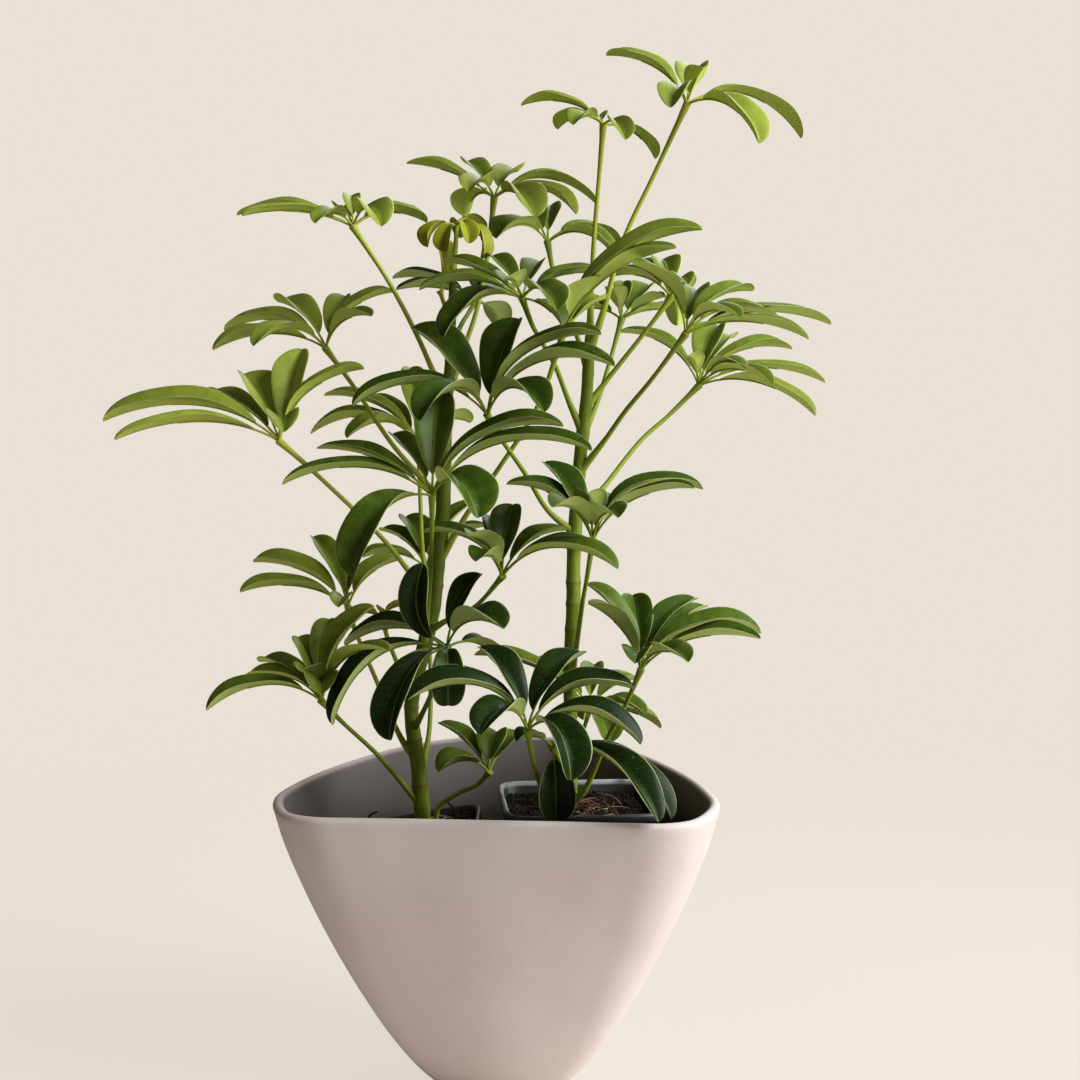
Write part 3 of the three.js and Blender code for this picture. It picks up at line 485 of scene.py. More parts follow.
for side, pot in (("right", RIGHT_POT), ("left", LEFT_POT)):
    piece = skin(f"nursery_pot_{side}", nursery_pot(pot), plastic)
    stands_for(piece, "pot_plastic", f"grow_pot_{side}")

# %% [markdown]
# ## Finishes of the potting mix
# Potting mix is dark and damp, made of crumbs of peat with reddish bark and pale fibres. The
# base colour runs from near black to dark brown by noise, and a strong fine height breaks it up.
# The bark bits and roots lie on it as real pieces, so each has a finish of its own.

# %% Make the mix, the bark and the root finishes
def crumbly(name, dark, pale, scale, depth, rough=0.95):
    material, tree, shader = new_material(name, Roughness=rough, Specular_IOR_Level=0.15)
    grain = use_group(tree, grain_group, Scale=scale, Spread=scale / 6)
    both = calc(tree, "MULTIPLY_ADD", grain["Patches"], 0.5, times(tree, grain["Height"], 0.5))
    dress(tree, shader, ramp(tree, both, [(0.35, dark), (0.65, pale)]), grain["Height"], depth)
    return material


mix_finish = crumbly("damp_potting_mix", (0.002, 0.0016, 0.0012), (0.008, 0.0055, 0.004), 520.0, 0.0012)
bark_bits = crumbly("bark_bits", (0.003, 0.002, 0.0015), (0.022, 0.012, 0.007), 420.0, 0.0005, 0.85)
root_finish = crumbly("brown_roots", (0.03, 0.011, 0.006), (0.12, 0.052, 0.028), 600.0, 0.0003, 0.75)
fibre_finish = crumbly("pale_fibres", (0.2, 0.14, 0.08), (0.42, 0.32, 0.2), 800.0, 0.0001, 0.8)
print("finishes of the mix:", mix_finish.name, bark_bits.name, root_finish.name, fibre_finish.name)

# %% [markdown]
# ## Helpers for Geometry Nodes
# A Geometry Nodes tree works as a modifier on an object. `new_tree` makes a tree with named
# inputs. `run_tree` puts it on a source object, sets its inputs by their identifiers, and keeps
# what comes out as a plain mesh.

# %% Helpers that make and run a tree
def new_tree(name, inputs):
    tree = bpy.data.node_groups.new(name, "GeometryNodeTree")
    tree.interface.new_socket("Geometry", in_out="INPUT", socket_type="NodeSocketGeometry")
    tree.interface.new_socket("Geometry", in_out="OUTPUT", socket_type="NodeSocketGeometry")
    for title, kind in inputs.items():
        tree.interface.new_socket(title, in_out="INPUT", socket_type=f"NodeSocket{kind}")
    return tree, tree.nodes.new("NodeGroupInput").outputs, tree.nodes.new("NodeGroupOutput").inputs[0]


def run_tree(name, source, tree, values):
    """A plain mesh made by a tree from a source object, which is then removed."""
    modifier = source.modifiers.new(tree.name, "NODES")
    modifier.node_group = tree
    for item in tree.interface.items_tree:
        if item.in_out == "INPUT" and item.name in values:
            modifier[item.identifier] = values[item.name]
    graph = bpy.context.evaluated_depsgraph_get()
    mesh = bpy.data.meshes.new_from_object(source.evaluated_get(graph))
    old = source.data
    bpy.data.objects.remove(source)
    bpy.data.meshes.remove(old)
    mesh.name = name
    return link(name, mesh)


print("tree helpers ready")

# %% [markdown]
# ## A tree that scatters crumbs
# Crumbs repeat hundreds of times, so a Geometry Nodes tree places them: it picks random points
# on the upper faces of the plug, puts a small lump on each with its own turn and size, and joins
# them to the plug. The seed is an input, so each run gives the same crumbs. Realize Instances at
# the end turns the copies into real mesh.

# %% Build the tree that scatters crumbs
CRUMB_INPUTS = {"Facing Up": "Float", "Density": "Float", "Smallest": "Float", "Largest": "Float",
                "Seed": "Int", "Mix Finish": "Material", "Bit Finish": "Material"}
CRUMB_LEAST, CRUMB_MOST = (0.7, 0.5, 0.35), (2.2, 1.1, 0.8)
crumb_tree, taken, given = new_tree("scattered_crumbs", CRUMB_INPUTS)
facing = crumb_tree.nodes.new("GeometryNodeInputNormal").outputs[0]
upward = place(crumb_tree, "ShaderNodeSeparateXYZ", {"Vector": facing}).outputs["Z"]
on_top = calc(crumb_tree, "GREATER_THAN", upward, taken["Facing Up"])
where = {"Mesh": taken["Geometry"], "Selection": on_top, "Density": taken["Density"], "Seed": taken["Seed"]}
points = place(crumb_tree, "GeometryNodeDistributePointsOnFaces", where, distribute_method="RANDOM")
lump = place(crumb_tree, "GeometryNodeMeshIcoSphere", {"Radius": 1.0, "Subdivisions": 1})
turn = place(crumb_tree, "FunctionNodeRandomValue", data_type="FLOAT_VECTOR")
turn.inputs["Max"].default_value = (math.tau, math.tau, math.tau)
size = place(crumb_tree, "FunctionNodeRandomValue", data_type="FLOAT")
size_limits = [s for s in size.inputs if s.type == "VALUE"][:2]
for socket, value in zip(size_limits, (taken["Smallest"], taken["Largest"])):
    fill(crumb_tree, socket, value)
size_value = next(s for s in size.outputs if s.type == "VALUE")
stretch = place(crumb_tree, "FunctionNodeRandomValue", data_type="FLOAT_VECTOR")
stretch.inputs["Min"].default_value = CRUMB_LEAST
stretch.inputs["Max"].default_value = CRUMB_MOST
for picker, offset in ((turn, 1), (size, 2), (stretch, 3)):
    fill(crumb_tree, picker.inputs["Seed"], calc(crumb_tree, "ADD", taken["Seed"], float(offset)))
scale = place(crumb_tree, "ShaderNodeVectorMath", {0: stretch.outputs[0]}, operation="SCALE")
fill(crumb_tree, scale.inputs["Scale"], size_value)
copies = {"Points": points.outputs["Points"], "Instance": lump.outputs["Mesh"],
          "Rotation": turn.outputs[0], "Scale": scale.outputs[0]}
bits = place(crumb_tree, "GeometryNodeInstanceOnPoints", copies)
real_bits = place(crumb_tree, "GeometryNodeRealizeInstances", {"Geometry": bits.outputs[0]})
both = place(crumb_tree, "GeometryNodeJoinGeometry")
for geometry, title in ((taken["Geometry"], "Mix Finish"), (real_bits.outputs[0], "Bit Finish")):
    finished = {"Geometry": geometry, "Material": taken[title]}
    part = place(crumb_tree, "GeometryNodeSetMaterial", finished)
    crumb_tree.links.new(part.outputs[0], both.inputs[0])
fill(crumb_tree, given, both.outputs[0])
print("crumb tree has", len(crumb_tree.nodes), "nodes")

# %% [markdown]
# ## The potting mix
# The mix fills each pot: heaped in the middle of the left one, sunk a little in the right one,
# and lumpy. Its skin is made as the pot's was, with smaller rings towards the middle, raised
# by a formula of a few crossed waves. The numbers in a wave say how fast it turns, in radians
# a millimetre.

# %% Build the potting mix
SEAT_GAP, MIX_RINGS, MIX_EDGE = 0.3, 30, 0.2
BROAD_LUMP, SMALL_LUMP = 1.1, 0.5


def lumps(x, y):
    broad = np.sin(x * 0.31 + np.sin(y * 0.17)) + np.sin(y * 0.43 - x * 0.12)
    small = np.sin(x * 1.3 + 2 * np.sin(y * 0.9)) * np.sin(y * 1.1 - x * 0.4)
    return BROAD_LUMP * broad + SMALL_LUMP * small


def mix_rings(pot):
    floor = pot["bottom"] + POT_WALL + SEAT_GAP
    inner = [pot_half(pot, z) - POT_WALL - SEAT_GAP for z in (floor, pot["soil"])]
    rings = [pot_ring(pot, inner[0], floor), pot_ring(pot, inner[1], pot["soil"] - 1)]
    for share in np.linspace(1, 0.04, MIX_RINGS):
        ring = pot_ring(pot, inner[1] * share, pot["soil"])
        loose = min(1.0, (1 - share) / MIX_EDGE)
        ring[:, 2] += pot["heap"] * (1 - share**2) + loose * lumps(ring[:, 0], ring[:, 1])
        rings.append(ring)
    return [leaned(pot, ring) for ring in rings]


for side, pot, seed in (("right", RIGHT_POT, 4), ("left", LEFT_POT, 9)):
    plug = skin(f"plug_{side}", mix_rings(pot), mix_finish)
    values = {"Facing Up": 0.5, "Density": 150000.0, "Smallest": 0.5 * MM, "Largest": 1.8 * MM,
              "Seed": seed, "Mix Finish": mix_finish, "Bit Finish": bark_bits}
    piece = run_tree(f"potting_mix_{side}", plug, crumb_tree, values)
    stands_for(piece, "potting_mix", f"soil_{side}")

# %% [markdown]
# ## The pattern of a leaflet
# A leaflet of this plant is leathery: glossy and darker above, matte and paler below, with a pale
# rib in a groove, faint slanting side veins and a thin pale margin. The lower face is made paler
# still, as painted light that stands for the light through the leaf and from below. Old leaves low
# down are very dark, partly as painted shade under the foliage, and young ones near the tips are
# yellow-green. All of this follows the leaflet and not the room, so it is driven by attributes
# that the mesh carries: `across` from edge to edge, `along` from base to tip, `under` on the lower
# face and `tone` for the leaf's age and its painted shade.

# %% Build the vein pattern
RIB_WIDTH, VEIN_GAP, VEIN_SLANT, VEIN_WANDER = 0.00042, 0.0036, 0.8, 2.6
vein_inputs = {"Across": 0.0, "Along": 0.0, "Half Width": 0.008, "Reach": 0.06}
vein_group, taken, given = new_group("leaf_veins", vein_inputs, ["Rib", "Veins", "Margin"])
off_rib = calc(vein_group, "ABSOLUTE", taken["Across"])
distance = times(vein_group, off_rib, taken["Half Width"])
rib = window(vein_group, distance, RIB_WIDTH * 0.6, RIB_WIDTH * 1.7, turned=True)
forward = times(vein_group, taken["Along"], taken["Reach"])
slanted = calc(vein_group, "SUBTRACT", forward, times(vein_group, distance, VEIN_SLANT))
wander = times(vein_group, noise(vein_group, 150.0, 2.0), VEIN_WANDER)
counted = calc(vein_group, "ADD", calc(vein_group, "DIVIDE", slanted, VEIN_GAP), wander)
between = calc(vein_group, "SUBTRACT", calc(vein_group, "FRACT", counted), 0.5)
off_vein = calc(vein_group, "ABSOLUTE", between)
fill(vein_group, given["Rib"], rib)
fill(vein_group, given["Veins"], window(vein_group, off_vein, 0.02, 0.13, turned=True))
fill(vein_group, given["Margin"], window(vein_group, off_rib, 0.93, 0.985))
print("vein pattern gives:", ", ".join(s.name for s in given if s.name))

# %% [markdown]
# ## Green above, pale below
# Both leaf finishes are built by one function, which takes the colours of the upper and the lower
# face from old to young. The lower face's colours are paler than the leaf's own, as painted light
# through the leaf and from below. The rib, the veins and the margin are laid over the green one
# by one, and the dust comes last, because it lies on top.

# %% Make the leaf finishes
RIB_PALE, MARGIN_PALE, DUST_PALE = (0.26, 0.32, 0.07), (0.46, 0.5, 0.2), (0.62, 0.62, 0.58)
VEIN_PALE, UNDER_VEIN_PALE = (0.32, 0.34, 0.06, 1), (0.36, 0.4, 0.12)


def leaf_finish(name, tones, under_lit_tones, rough):
    material, tree, shader = new_material(name, Specular_IOR_Level=0.12)
    shape = {key.title().replace("_", " "): carried(tree, key)
             for key in ("across", "along", "reach", "half_width")}
    veins = use_group(tree, vein_group, **shape)
    under, tone = carried(tree, "under"), carried(tree, "tone")
    grain = use_group(tree, grain_group, Scale=1500.0, Spread=110.0)
    drift = times(tree, calc(tree, "SUBTRACT", grain["Patches"], 0.5), 0.3)
    age_and_shade = calc(tree, "ADD", tone, drift)
    green = ramp(tree, age_and_shade, tones)
    upper = mixed(tree, times(tree, veins["Veins"], 0.08), green, mixed(tree, 0.35, green, VEIN_PALE))
    upper = laid_over(tree, upper, RIB_PALE, veins["Rib"], 0.3)
    upper = laid_over(tree, upper, MARGIN_PALE, veins["Margin"], 0.8)
    lower_lit = laid_over(tree, ramp(tree, age_and_shade, under_lit_tones), UNDER_VEIN_PALE, veins["Veins"], 0.14)
    dust = use_group(tree, dust_group, Scale=520.0, Amount=0.03)
    on_top = times(tree, dust["Specks"], calc(tree, "SUBTRACT", 1.0, under))
    color = laid_over(tree, mixed(tree, under, upper, lower_lit), DUST_PALE, on_top, 0.45)
    gloss = calc(tree, "MULTIPLY_ADD", under, 0.2, calc(tree, "MULTIPLY_ADD", grain["Patches"], 0.16, rough))
    sunk = calc(tree, "MULTIPLY_ADD", veins["Veins"], -0.12, times(tree, grain["Height"], 0.04))
    dress(tree, shader, color, calc(tree, "SUBTRACT", sunk, veins["Rib"]), 0.00022, gloss)
    return material


# The darkest tones, given to the low leaves, are partly painted shade under the foliage.
LEAF_TONES = [(0.0, (0.007, 0.016, 0.002)), (0.3, (0.036, 0.066, 0.005)), (0.55, (0.12, 0.165, 0.016)),
              (0.8, (0.235, 0.28, 0.035)), (1.0, (0.36, 0.39, 0.07))]
YOUNG_TONES = [(0.0, (0.12, 0.15, 0.008)), (0.6, (0.22, 0.24, 0.01)), (1.0, (0.34, 0.33, 0.012))]
# The lower faces' colours: the leaf's own pale underside, brightened further as painted light through the
# leaf and from below.
LEAF_UNDER_LIT = [(0.1, (0.36, 0.43, 0.13)), (0.5, (0.42, 0.5, 0.1)), (0.85, (0.45, 0.52, 0.06))]
YOUNG_UNDER_LIT = [(0.5, (0.28, 0.31, 0.03)), (1.0, (0.38, 0.36, 0.02))]
leaf_green = leaf_finish("leathery_leaf", LEAF_TONES, LEAF_UNDER_LIT, 0.3)
leaf_young = leaf_finish("young_leaf", YOUNG_TONES, YOUNG_UNDER_LIT, 0.36)
print("leaf finishes:", leaf_green.name, leaf_young.name)

# %% [markdown]
# ## Stalk and stem finishes
# Stalks are smooth and yellow-green, browner at the foot, and their green follows the leaf's
# tone, with its painted shade. The stems are older: olive green with small pale pores, fine
# lengthwise streaks and a reddish brown ring at each old leaf scar. A streak is noise on
# coordinates that a Mapping node squeezes along Z. On a stem, `tone` mixes in a dark olive, from 0
# for all of it to 1 for none: partly the bark's own darker colour and partly painted shade, which
# darkens the upper left stem.

# %% Make the stalk and stem finishes
def streaks(tree, scale, squeeze):
    inputs = {"Vector": object_place(tree), "Scale": (1, 1, squeeze)}
    stretched = place(tree, "ShaderNodeMapping", inputs)
    return noise(tree, scale, 3.0, 0.55, at=stretched.outputs[0])


STALK_TONES = [(0.1, (0.13, 0.17, 0.012)), (0.5, (0.24, 0.29, 0.022)), (0.85, (0.4, 0.42, 0.05))]
STEM_TONES = [(0.3, (0.15, 0.205, 0.012)), (0.5, (0.25, 0.32, 0.02)), (0.75, (0.35, 0.41, 0.05))]
DARK_BARK_AND_SHADE = (0.042, 0.058, 0.003, 1)

stalk_green, tree, shader = new_material("stalk_green", Roughness=0.42, Specular_IOR_Level=0.15)
lengthwise = streaks(tree, 900.0, 0.12)
tint = calc(tree, "MULTIPLY_ADD", lengthwise, 0.06, times(tree, carried(tree, "tone"), 0.8))
foot = window(tree, carried(tree, "along"), 0.0, 0.14, turned=True)
color = laid_over(tree, ramp(tree, tint, STALK_TONES), (0.16, 0.12, 0.04), foot, 0.35)
dress(tree, shader, color, lengthwise, 0.000008)

stem_green, tree, shader = new_material("stem_bark_green", Roughness=0.5, Specular_IOR_Level=0.15)
lengthwise = streaks(tree, 420.0, 0.15)
patches = window(tree, noise(tree, 60.0, 3.0), 0.5, 0.72)
pores = use_group(tree, dust_group, Scale=420.0, Amount=0.45)
green = laid_over(tree, ramp(tree, lengthwise, STEM_TONES), (0.13, 0.11, 0.035), patches, 0.25)
green = laid_over(tree, green, (0.38, 0.36, 0.2), pores["Specks"], 0.5)
# Partly painted shade: a low tone mixes in the dark olive, which darkens the upper left stem where it stands
# in shade; the rest is the bark's own darker colour.
green = mixed(tree, carried(tree, "tone"), DARK_BARK_AND_SHADE, green)
scarred = laid_over(tree, green, (0.15, 0.055, 0.025), carried(tree, "scar"))
dress(tree, shader, scarred, calc(tree, "ADD", lengthwise, pores["Specks"]), 0.00012)
print("stalk and stem finishes:", stalk_green.name, stem_green.name)

# %% [markdown]
# ## A tree that grows leaves from lines
# The plant has over two hundred leaflets, which all follow one rule: a folded blade is swept
# along an arched rib, narrow at its base, widest past the middle and blunt at its tip. So Python
# only makes the lines, each point carrying its half width and the way that its face looks, and
# one Geometry Nodes tree sweeps a section along every line. Blades get the folded section,
# while stalks, stems and roots get a round one.
#
# The section starts as a circle. Its points are moved to the shape of a shallow V with rounded
# halves, and what was the circle's thickness becomes the blade's.

# %% Start the sweeping tree with the blade's section
def told(tree, name, kind="FLOAT"):
    node = place(tree, "GeometryNodeInputNamedAttribute", {"Name": name}, data_type=kind)
    return node.outputs["Attribute"]


SWEEP_INPUTS = {"Fold": "Float", "Crease": "Float", "Thickness": "Float", "Curl": "Float",
                "Wave": "Float", "Blade Sides": "Int", "Round Sides": "Int",
                "Blade Finish": "Material", "Round Finish": "Material"}
CURL_POWER, WAVE_POWER, WAVE_COUNT, WAVE_SPREAD = 6.0, 2.0, 9.0, 20.0
sweep, taken, given = new_tree("stalks_and_blades", SWEEP_INPUTS)
face, width = told(sweep, "face", "FLOAT_VECTOR"), told(sweep, "half_width")


def unit_circle(sides):
    return place(sweep, "GeometryNodeCurvePrimitiveCircle", {"Resolution": sides, "Radius": 1.0}).outputs[0]


def swept(lines, section):
    inputs = {"Curve": lines, "Profile Curve": section, "Scale": width, "Fill Caps": True}
    return place(sweep, "GeometryNodeCurveToMesh", inputs).outputs[0]


here = sweep.nodes.new("GeometryNodeInputPosition").outputs[0]
spot = place(sweep, "ShaderNodeSeparateXYZ", {0: here}).outputs
marked = unit_circle(taken["Blade Sides"])
for name, value in (("across", spot["Y"]), ("under", calc(sweep, "LESS_THAN", spot["X"], 0.0))):
    inputs = {"Geometry": marked, "Name": name, "Value": value}
    marked = place(sweep, "GeometryNodeStoreNamedAttribute", inputs).outputs[0]
sideways = calc(sweep, "ABSOLUTE", told(sweep, "across"))
vee = times(sweep, calc(sweep, "POWER", sideways, taken["Crease"]), taken["Fold"])
curl = times(sweep, calc(sweep, "POWER", sideways, CURL_POWER), taken["Curl"])
thick = times(sweep, spot["X"], taken["Thickness"])
raised = calc(sweep, "ADD", calc(sweep, "SUBTRACT", vee, curl), thick)
bent = place(sweep, "ShaderNodeCombineXYZ", {"X": raised, "Y": spot["Y"]}).outputs[0]
section = place(sweep, "GeometryNodeSetPosition", {"Geometry": marked, "Position": bent}).outputs[0]
print("the section is shaped by", len(sweep.nodes), "nodes")

# %% [markdown]
# ## Sweeping the blades and the round lines
# The attribute `blade` tells the two kinds of line apart, so that each gets its own section and
# finish. Free curve normals keep a blade's V open towards `face`, so no blade twists. A sine along
# the blade then lifts its edges a little, and `draw` starts it at another place on each leaflet.

# %% Sweep both kinds of line and join them
is_blade = calc(sweep, "GREATER_THAN", told(sweep, "blade"), 0.5)
choice = {"Geometry": taken["Geometry"], "Selection": is_blade}
parted = place(sweep, "GeometryNodeSeparateGeometry", choice).outputs
ribs = place(sweep, "GeometryNodeMeshToCurve", {"Mesh": parted["Selection"]}).outputs[0]
facing = place(sweep, "GeometryNodeSetCurveNormal", {"Curve": ribs, "Normal": face}, mode="FREE")
blades = swept(facing.outputs[0], section)
phase = calc(sweep, "MULTIPLY_ADD", told(sweep, "along"), WAVE_COUNT,
             times(sweep, told(sweep, "draw"), WAVE_SPREAD))
height = times(sweep, calc(sweep, "POWER", sideways, WAVE_POWER), times(sweep, width, taken["Wave"]))
wave = times(sweep, calc(sweep, "SINE", phase), height)
lifted = place(sweep, "ShaderNodeVectorMath", {0: face, "Scale": wave}, operation="SCALE").outputs[0]
waved = place(sweep, "GeometryNodeSetPosition", {"Geometry": blades, "Offset": lifted}).outputs[0]

middle_lines = place(sweep, "GeometryNodeMeshToCurve", {"Mesh": parted["Inverted"]}).outputs[0]
rounds = swept(middle_lines, unit_circle(taken["Round Sides"]))
both = place(sweep, "GeometryNodeJoinGeometry")
for part in (waved, rounds):
    sweep.links.new(part, both.inputs[0])
result = place(sweep, "GeometryNodeSetShadeSmooth", {"Geometry": both.outputs[0]}).outputs[0]
result = place(sweep, "GeometryNodeRealizeInstances", {"Geometry": result}).outputs[0]
is_round = calc(sweep, "LESS_THAN", told(sweep, "blade"), 0.5)
for title, selection in (("Round Finish", is_round), ("Blade Finish", is_blade)):
    inputs = {"Geometry": result, "Selection": selection, "Material": taken[title]}
    result = place(sweep, "GeometryNodeSetMaterial", inputs).outputs[0]
fill(sweep, given, result)
print("sweeping tree has", len(sweep.nodes), "nodes")

# %% [markdown]
# ## From lines to a piece
# The lines go in as one mesh of points and edges. What each point carries is stored as a mesh
# attribute, which the tree reads by name and which the finished mesh keeps for its material.

# %% Helper that grows a piece from its lines
CARRIED = ("half_width", "blade", "along", "tone", "draw", "reach", "scar")
SWEEP_SIZES = {"Fold": 0.8, "Crease": 0.9, "Thickness": 0.04, "Curl": 0.12, "Wave": 0.09,
               "Blade Sides": 24}


def grow(name, lines, round_finish, sides, blade_finish=leaf_green):
    """lines are dicts of points in mm and of what they carry; widths are in mm too."""
    counts = [len(line["points"]) for line in lines]
    starts = np.cumsum([0, *counts])
    edges = [(a + i, a + i + 1) for a, n in zip(starts, counts) for i in range(n - 1)]
    mesh = bpy.data.meshes.new(f"{name}_lines")
    mesh.from_pydata((np.vstack([line["points"] for line in lines]) * MM).tolist(), edges, [])
    for key in CARRIED:
        unit_size = MM if key in ("half_width", "reach") else 1
        values = [np.broadcast_to(line.get(key, 0.0), n) * unit_size for line, n in zip(lines, counts)]
        mesh.attributes.new(key, "FLOAT", "POINT").data.foreach_set("value", np.concatenate(values))
    faces = np.vstack([np.broadcast_to(line.get("face", UP), (n, 3)) for line, n in zip(lines, counts)])
    mesh.attributes.new("face", "FLOAT_VECTOR", "POINT").data.foreach_set("vector", faces.ravel())
    finishes = {"Round Finish": round_finish, "Blade Finish": blade_finish}
    values = {**SWEEP_SIZES, "Round Sides": sides, **finishes}
    return run_tree(name, link(f"{name}_lines", mesh), sweep, values)


print("a line's points carry:", ", ".join(CARRIED))

# %% [markdown]
# ## The leaves, point by point
# Each leaf of the real plant was read off its picture once: the points of its stalk from the
# stem out to the knot, and for each leaflet how far its tip lies from the knot (across, back and
# up), its width, how high it arches, and how many degrees its face turns to the front. The
# solids use the same numbers, so the fine leaf lies where its solid does. The first number is
# the leaf's tone, from 0 for old and dark to 1 for young and pale; the dark tones of the low
# leaves are partly painted shade.

# %% List the leaves
RIGHT_LEAVES = {
    "leaf_right_01": (
        0.7,
        [[58, -1, 480], [66, -4, 503], [79, -3, 549], [98.5, -1, 591], [120, 0, 637]],
        [(-50, 22, 33, 17, 12, 10), (-14, -44, -7, 19, 13, 0), (8, -22, 20, 14, 3, 0),
         (10, 48, 28, 21, 5, 0), (75, 14, -20, 19, 21, 10), (41, -38, -28, 24, 15, 0)],
    ),
    "leaf_right_02": (
        0.75,
        [[58.4, 2, 488], [59, 4, 512], [61, 4, 552], [64, 2, 591], [66.5, 0, 624]],
        [(-52, 10, 13, 15, 11, 10), (-20, -30, -3, 15, 7, 0), (-28, 30, 0, 16, 9, 0),
         (-3, 18, 7, 11, 3, 0), (12, -30, -12, 15, 8, 0), (34, 14, -20, 15, 9, 10)],
    ),
    "leaf_right_03": (
        0.55,
        [[57.5, 0, 466], [49, 16, 494], [38, 36, 522], [32, 48, 552]],
        [(-20, 40, 34, 20, 5, 0), (3, 44, 27, 16, 5, 0), (49, 20, -5, 17, 16, 10),
         (42, -16, -8, 18, 13, 5), (-34, -34, 1, 21, 13, 5)],
    ),
    "leaf_right_04": (
        0.53,
        [[55.5, 0, 443], [69.5, 4, 461], [92, 8, 489], [112, 10, 515]],
        [(8, -26, 8, 14, 9, 0), (-4, 32, 25, 19, 6, 0), (-37, 26, 14, 18, 9, 5),
         (-19, 40, 24, 15, 7, 0), (15, 38, 6, 15, 8, 0), (6, 26, -18, 16, 10, 0)],
    ),
    "leaf_right_05": (
        0.42,
        [[53.5, 0, 428], [45, -3, 447], [35.5, -10, 471], [21, -30, 496], [14, -40, 514]],
        [(-50, 30, 23, 15, 7, 10), (-64, 6, 5, 16, 11, 12), (-48, -28, -24, 20, 15, 10),
         (-20, 44, 27, 15, 5, 0), (12, 46, 24, 15, 5, 0), (53, 24, 14, 16, 10, 8),
         (20, -42, -8, 21, 12, 0), (24, -12, -17, 16, 5, 0), (-12, -34, 10, 18, 6, 0)],
    ),
    "leaf_right_06": (
        0.45,
        [[53.8, 0, 425], [64, 14, 447], [71, 30, 466], [82, 52, 501]],
        [(3, 24, 26, 12, 3, 0), (23, 34, 23, 20, 3, 0), (28, -14, 15, 15, 3, 0),
         (32, 14, 6, 15, 4, 0), (-8, -26, 20, 14, 3, 0), (-30, 24, 6, 18, 6, 0)],
    ),
    "leaf_right_07": (
        0.5,
        [[52, 0, 402], [67.5, -10, 423], [80, -20, 442], [95.5, -34, 462.5], [115.6, -50, 491.6]],
        [(-34, -18, 42, 18, 13, 15), (11, 42, 28, 22, 6, 0), (45, 28, 27, 17, 12, 8),
         (60, 6, 6, 16, 16, 8), (74, -16, -3, 15, 12, 5), (95, 30, 6, 16, 14, 8),
         (29, -40, 10, 14, 12, 0)],
    ),
    "leaf_right_08": (
        0.58,
        [[49.5, 0, 372], [66.5, 9, 389.5], [94, 26, 421.5], [111.5, 35, 436], [134, 45, 457]],
        [(-52, 30, 35, 15, 14, 8), (-10, -22, 20, 14, 6, 0), (17, 38, 40, 21, 8, 0),
         (29, 46, 32, 17, 9, 0), (64, 14, 24, 17, 15, 10), (27, -32, 12, 15, 10, 0),
         (84, -4, 2, 15, 14, 8), (43, -44, 1, 15, 14, 0), (74, -26, -19, 17, 15, 5)],
    ),
    "leaf_right_09": (
        0.28,
        [[48.8, 0, 362], [31, -8, 378], [16, -20, 403], [-2, -33, 430], [-8, -38, 441.5]],
        [(-48, 20, 54, 28, 7, 20), (20, 28, 60, 25, 6, 0), (-83, -12, 6, 20, 22, 10),
         (-40, -50, -1, 23, 22, 0), (70, -20, 50, 20, 22, 12), (77, -38, 31, 20, 24, 10),
         (34, -54, 4, 23, 20, 0)],
    ),
    "leaf_right_10": (
        0.25,
        [[46, 0, 254], [49.5, -24, 294], [52, -44, 322], [54.5, -60, 343], [57.3, -70, 365.7]],
        [(-53, 10, 34, 16, 14, 10), (-30, 32, 46, 21, 6, 0), (-5, -22, 31, 20, 6, 0),
         (13, -40, 18, 20, 12, 0), (68, 6, 31, 18, 22, 10), (60, -22, 34, 15, 14, 5),
         (-26, -36, 24, 19, 11, 5), (18, 44, 22, 16, 10, 0)],
    ),
    "leaf_right_11": (
        0.42,
        [[46.6, 0, 208], [52, 22, 216], [61.6, 55, 235]],
        [(-79, 14, 36, 17, 14, 8), (-40, 40, 27, 17, 10, 0), (5, 44, 24, 16, 8, 0),
         (35, 28, 16, 18, 8, 5), (36, -24, 1, 16, 10, 0), (49, 6, -14, 15, 8, 5),
         (12, -30, -16, 20, 9, 0), (-3, 36, -14, 15, 10, 0)],
    ),
    "leaf_right_12": (
        0.3,
        [[46.5, 0, 184], [54.5, -8, 192.5], [70, -27, 234], [78.5, -38, 253], [89, -48, 281]],
        [(-34, 14, 53, 16, 10, 10), (-34, -18, 45, 18, 9, 5), (-3, 36, 43, 20, 7, 0),
         (38, 30, 41, 18, 12, 5), (46, 44, 34, 16, 10, 5), (76, 2, 23, 22, 20, 10),
         (72, -26, 24, 17, 14, 8), (26, -40, 12, 19, 12, 0), (-6, -38, 11, 18, 11, 0)],
    ),
    "leaf_right_13": (
        0.0,
        [[46.5, 0, 182], [44, -22, 197], [38, -46, 220], [32, -62, 235]],
        [(2, -18, -42, 22, 10, 0), (-22, -12, 6, 15, 6, 0), (62, -60, -33, 23, 20, 0),
         (72, -34, -38, 21, 19, 5)],
    ),
}
